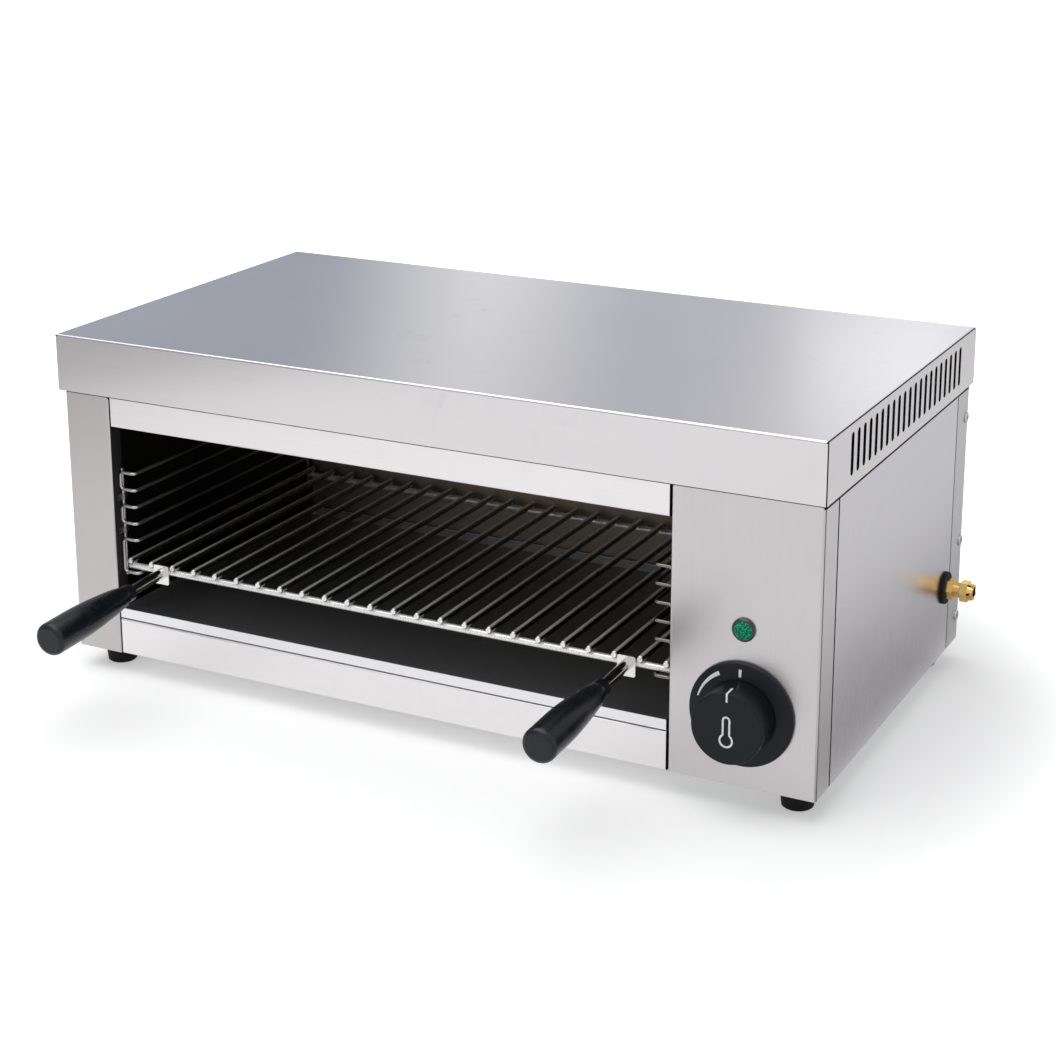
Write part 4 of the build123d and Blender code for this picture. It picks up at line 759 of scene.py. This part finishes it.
def pointer_rows():
    """The pointer runs up the knob's face, over its rounded edge and back along its side."""
    width = 1.35 * MM
    start, back = 18.9 * MM, 10.0 * MM
    profile = [(knob_front, start, -1.0, 0.0), (knob_front, knob_radius - KNOB_EDGE, -1.0, 0.0)]
    for k in range(1, 7):
        angle = math.pi / 2 * k / 6
        y = knob_front + KNOB_EDGE * (1 - math.cos(angle))
        up = knob_radius - KNOB_EDGE + KNOB_EDGE * math.sin(angle)
        profile.append((y, up, -math.cos(angle), math.sin(angle)))
    profile.append((knob_front + back, knob_radius, 0.0, 1.0))
    rows = []
    for y, up, out_y, out_up in profile:
        row = []
        for sign, away in ((1, PRINT_PROUD), (-1, PRINT_PROUD), (-1, -PRINT_DEPTH), (1, -PRINT_DEPTH)):
            row.append((knob_x + sign * width / 2, y + out_y * away, knob_z + up + out_up * away))
        rows.append(row)
    return rows


piece_of(
    "knob_marks",
    *joined(
        ribbon(pointer_rows()),
        ring_of_rows(closed_rows(thermometer_outline(), 1.35 * MM, knob_front)),
    ),
    "white_print",
    "knob",
    "black_plastic",
)

BEZEL_RIM = 3.0 * MM
BEZEL_THICK = 4.6 * MM
BEZEL_EDGE = 0.8 * MM
BEZEL_LAND = knob_radius + 1.0 * MM
panel_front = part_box("knob_bezel")[1][1]
bezel_radius = middle_and_size("knob_bezel")[1].z / 2


def bezel_front(radius):
    """How far the bezel's sloping face is in front of the panel at a radius."""
    outer = bezel_radius - BEZEL_EDGE
    share = (outer - radius) / (outer - BEZEL_LAND)
    return panel_front - BEZEL_RIM + (BEZEL_RIM - BEZEL_THICK) * min(max(share, 0.0), 1.0)


def bezel_mark(outline):
    """A closed film on the bezel's sloping face from (radius, degrees) pairs of inner and outer edge."""
    rows = []
    for inner, outer, degrees in outline:
        angle = math.radians(degrees)
        row = []
        film = ((outer, -PRINT_PROUD), (inner, -PRINT_PROUD), (inner, PRINT_DEPTH), (outer, PRINT_DEPTH))
        for radius, away in film:
            row.append(
                (
                    knob_x + radius * math.cos(angle),
                    bezel_front(radius) + away,
                    knob_z + radius * math.sin(angle),
                )
            )
        rows.append(row)
    return ribbon(rows)


heat_wedge = []
for k in range(25):
    degrees = 164.0 - 45.0 * k / 24
    thick = (1.0 + 1.8 * k / 24) * MM
    heat_wedge.append((31.5 * MM - thick / 2, 31.5 * MM + thick / 2, degrees))
tick_half = math.degrees(0.95 / 30.0)
off_tick = [(27.5 * MM, 32.5 * MM, 91.0 + side * tick_half) for side in (1, -1)]
piece_of(
    "bezel_marks",
    *joined(bezel_mark(heat_wedge), bezel_mark(off_tick)),
    "white_print",
    "casing",
    "black_plastic",
)


# ---------------------------------------------------------------- welds
def weld_bead(centre, across, long, high, turn=0.0):
    """A small flattened bead where two wires are joined."""
    vertices, faces = [], []
    rings, sides = 5, 10
    spin = Matrix.Rotation(turn, 3, "Z")
    for i in range(rings + 1):
        polar = math.pi * i / rings
        for j in range(sides):
            angle = 2 * math.pi * j / sides
            local = Vector(
                (
                    across * math.sin(polar) * math.cos(angle),
                    long * math.sin(polar) * math.sin(angle),
                    high * math.cos(polar),
                )
            )
            vertices.append(tuple(Vector(centre) + spin @ local))
    for i in range(rings):
        for j in range(sides):
            a, b = i * sides + j, i * sides + (j + 1) % sides
            faces.append((a, b, b + sides, a + sides))
    return vertices, faces


rack_low, rack_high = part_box("rack_grid")
rod_xs = [rack_low[0] + ROD / 2 + (rack_high[0] - rack_low[0] - ROD) * k / (RODS - 1) for k in range(RODS)]
cross_ys = (rack_low[1] + CROSS_ROD_INSET, rack_high[1] - CROSS_ROD_INSET)
join_z = (rack_low[2] + rack_high[2]) / 2
beads = []
for y in cross_ys:
    for k, x in enumerate(rod_xs):
        size = (0.8 + 0.1 * math.sin(7.3 * k)) * MM
        for side in (-1, 1):
            seat = (x + side * 1.5 * MM, y + 0.2 * side * MM, join_z)
            beads.append(weld_bead(seat, size, 1.9 * size, 0.75 * size))
piece_of("rack_welds", *joined(*beads), "weld_metal", "rack", "chromed_wire", smooth=True)


def screw_recess_shades():
    """A black cross in each screw head on the outside, painted shade standing in for its cross recess."""
    head_wide, arm, arm_half, deep = 9.0 * MM, 1.5 * MM, 0.35 * MM, 0.6 * MM
    crosses = []
    for node, axis in (("side_screws", 0), ("hood_screws", 1)):
        low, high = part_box(node)
        seats = {}
        for vertex in nodes[node].data.vertices:
            across = vertex.co[1 - axis], vertex.co[2]
            for seat in seats:
                if math.dist(across, seat) < head_wide:
                    seats[seat].append(vertex.co.copy())
                    break
            else:
                seats[across] = [vertex.co.copy()]
        for points in seats.values():
            tip = max(point[axis] for point in points)
            middle = [(min(p[i] for p in points) + max(p[i] for p in points)) / 2 for i in range(3)]
            side, up = middle[1 - axis], middle[2]
            for wide, tall in ((arm, arm_half), (arm_half, arm)):
                corners = ((-1, -1), (1, -1), (1, 1), (-1, 1))
                outline = [(side + right * wide, up + above * tall) for right, above in corners]
                crosses.append(prism(outline, tip - deep, tip, "xy"[axis]))
    return crosses


cut_hood()
piece_of("screw_recess_shades", *joined(*screw_recess_shades()), "recess_black", "casing", "screw_steel")


# ---------------------------------------------------------------- camera
def aim_camera():
    """The view from the right and a little above, shifted so that upright edges lean only slightly."""
    turn, tilt, roll = (math.radians(a) for a in (27.19, 15.23, -0.13))
    shown, focus, sensor = 1056.0, 2180.08, 36.0
    camera_data = bpy.data.cameras.new("studio_camera")
    camera_data.sensor_width = sensor
    camera_data.lens = sensor * focus / shown
    camera_data.shift_y = -0.15
    camera_data.clip_start = 0.05
    camera_data.clip_end = 60.0
    camera = bpy.data.objects.new("studio_camera", camera_data)
    bpy.context.scene.collection.objects.link(camera)
    stance = Matrix.Rotation(turn, 4, "Z") @ Matrix.Rotation(math.pi / 2 - tilt, 4, "X")
    stance = stance @ Matrix.Rotation(roll, 4, "Z")
    camera.matrix_world = Matrix.Translation((0.72306, -1.35121, 0.66971)) @ stance
    bpy.context.scene.camera = camera


# ---------------------------------------------------------------- studio
def seen_directly(tree):
    """One for what the camera or a clear piece shows, and one for what a reflection shows."""
    camera = tree.node("ShaderNodeLightPath")
    source = tree.tree.nodes[-1]
    mirrored = Value(tree, source.outputs["Is Glossy Ray"])
    through = Value(tree, source.outputs["Is Transmission Ray"])
    return camera.larger(through), mirrored


def light_world():
    world = bpy.data.worlds.new("studio_air")
    world.use_nodes = True
    bpy.context.scene.world = world
    tree = Finish(world.node_tree)
    shown, mirrored = seen_directly(tree)
    way = tree.node("ShaderNodeTexCoord", None, None, "Generated")
    walls = [
        (0.20, (0.45, 0.485, 0.55)),
        (0.27, (0.40, 0.43, 0.49)),
        (0.335, (0.98, 0.99, 1.0)),
        (0.395, (0.56, 0.58, 0.63)),
        (0.46, (0.6, 0.615, 0.66)),
        (0.525, (0.96, 0.97, 1.0)),
    ]
    ramp_start = 0.8  # the first stop faces 0.8 to the left
    studio = tree.node("ShaderNodeValToRGB", {"stops": walls}, {"Fac": tree.along(way, "X") + ramp_start})
    air = tree.blend(mirrored, (1.0, 1.0, 1.0), studio)
    lamp = tree.node("ShaderNodeBackground", None, {"Color": (0.97, 0.985, 1.0, 1.0), "Strength": 0.32})
    backdrop = tree.node("ShaderNodeBackground", None, {"Color": air, "Strength": 1.0})
    mixed = tree.node("ShaderNodeMixShader", None, {0: shown.larger(mirrored), 1: lamp, 2: backdrop})
    tree.node("ShaderNodeOutputWorld", None, {"Surface": mixed})


def lay_floor():
    half = 9.0
    corners = [(-half, -half, 0), (half, -half, 0), (half, half, 0), (-half, half, 0)]
    mesh = bpy.data.meshes.new("studio_floor")
    mesh.from_pydata(corners, [], [(0, 1, 2, 3)])
    floor = bpy.data.objects.new("studio_floor", mesh)
    bpy.context.scene.collection.objects.link(floor)
    material = bpy.data.materials.new("studio_floor_paint")
    material.use_nodes = True
    tree = Finish(material.node_tree)
    shown, mirrored = seen_directly(tree)
    place = tree.place()
    away = tree.node("ShaderNodeVectorMath", {"operation": "LENGTH"}, {0: place}, "Value")
    far_white = tree.spread(away, 0.34, 0.58, 0.35, 0.9)
    # Seen in reflections, the floor is painted dim to the left and right, as painted shade.
    left_dim = mirrored * tree.spread(tree.along(place, "X"), -0.6, -0.95, 0.0, 0.5)
    paint = tree.node("ShaderNodeBsdfDiffuse", None, {"Color": (0.8, 0.8, 0.8, 1.0)})
    lift = tree.shade((1.0, 1.0, 1.0), shown * far_white + mirrored * 0.34)
    glow = tree.node("ShaderNodeEmission", None, {"Color": lift, "Strength": 1.0})
    both = tree.node("ShaderNodeAddShader", None, {0: paint, 1: glow})
    right_side = tree.spread(tree.along(place, "X"), 0.3, 0.32)
    right_dim = mirrored * right_side * tree.spread(tree.along(place, "X"), 0.33, 0.45, 0.55, 0.08)
    reflected_floor_shade = tree.node("ShaderNodeEmission", None, {"Color": (0.1, 0.09, 0.09, 1.0), "Strength": 1.0})
    both = tree.node("ShaderNodeMixShader", None, {0: left_dim.larger(right_dim), 1: both, 2: reflected_floor_shade})
    tree.node("ShaderNodeOutputMaterial", None, {"Surface": both})
    mesh.materials.append(material)


def hang_lamp(name, place, aim, size, watts, mirrored=True):
    lamp_data = bpy.data.lights.new(name, "AREA")
    lamp_data.shape = "RECTANGLE"
    lamp_data.size, lamp_data.size_y = size
    lamp_data.energy = watts
    lamp = bpy.data.objects.new(name, lamp_data)
    bpy.context.scene.collection.objects.link(lamp)
    lamp.location = place
    lamp.rotation_mode = "QUATERNION"
    lamp.rotation_quaternion = (Vector(aim) - Vector(place)).to_track_quat("-Z", "Y")
    lamp.visible_camera = False
    lamp.visible_glossy = mirrored


aim_camera()
light_world()
lay_floor()
hang_lamp("overhead_lamp", (-0.55, -0.5, 2.5), (0.0, 0.0, 0.1), (3.2, 2.5), 47.0)
hang_lamp("right_lamp", (2.2, 1.6, 1.3), (0.0, 0.0, 0.15), (1.4, 1.4), 2.0, mirrored=False)
hang_lamp("front_lamp", (-0.9, -2.5, 1.2), (0.0, 0.0, 0.15), (1.8, 1.2), 12.0, mirrored=False)
hang_lamp("rear_lamp", (-1.15, 4.7, 1.65), (0.25, 0.1, 0.27), (0.5, 0.9), 0.4)

bpy.context.scene.view_settings.view_transform = "Standard"

bpy.context.view_layer.update()
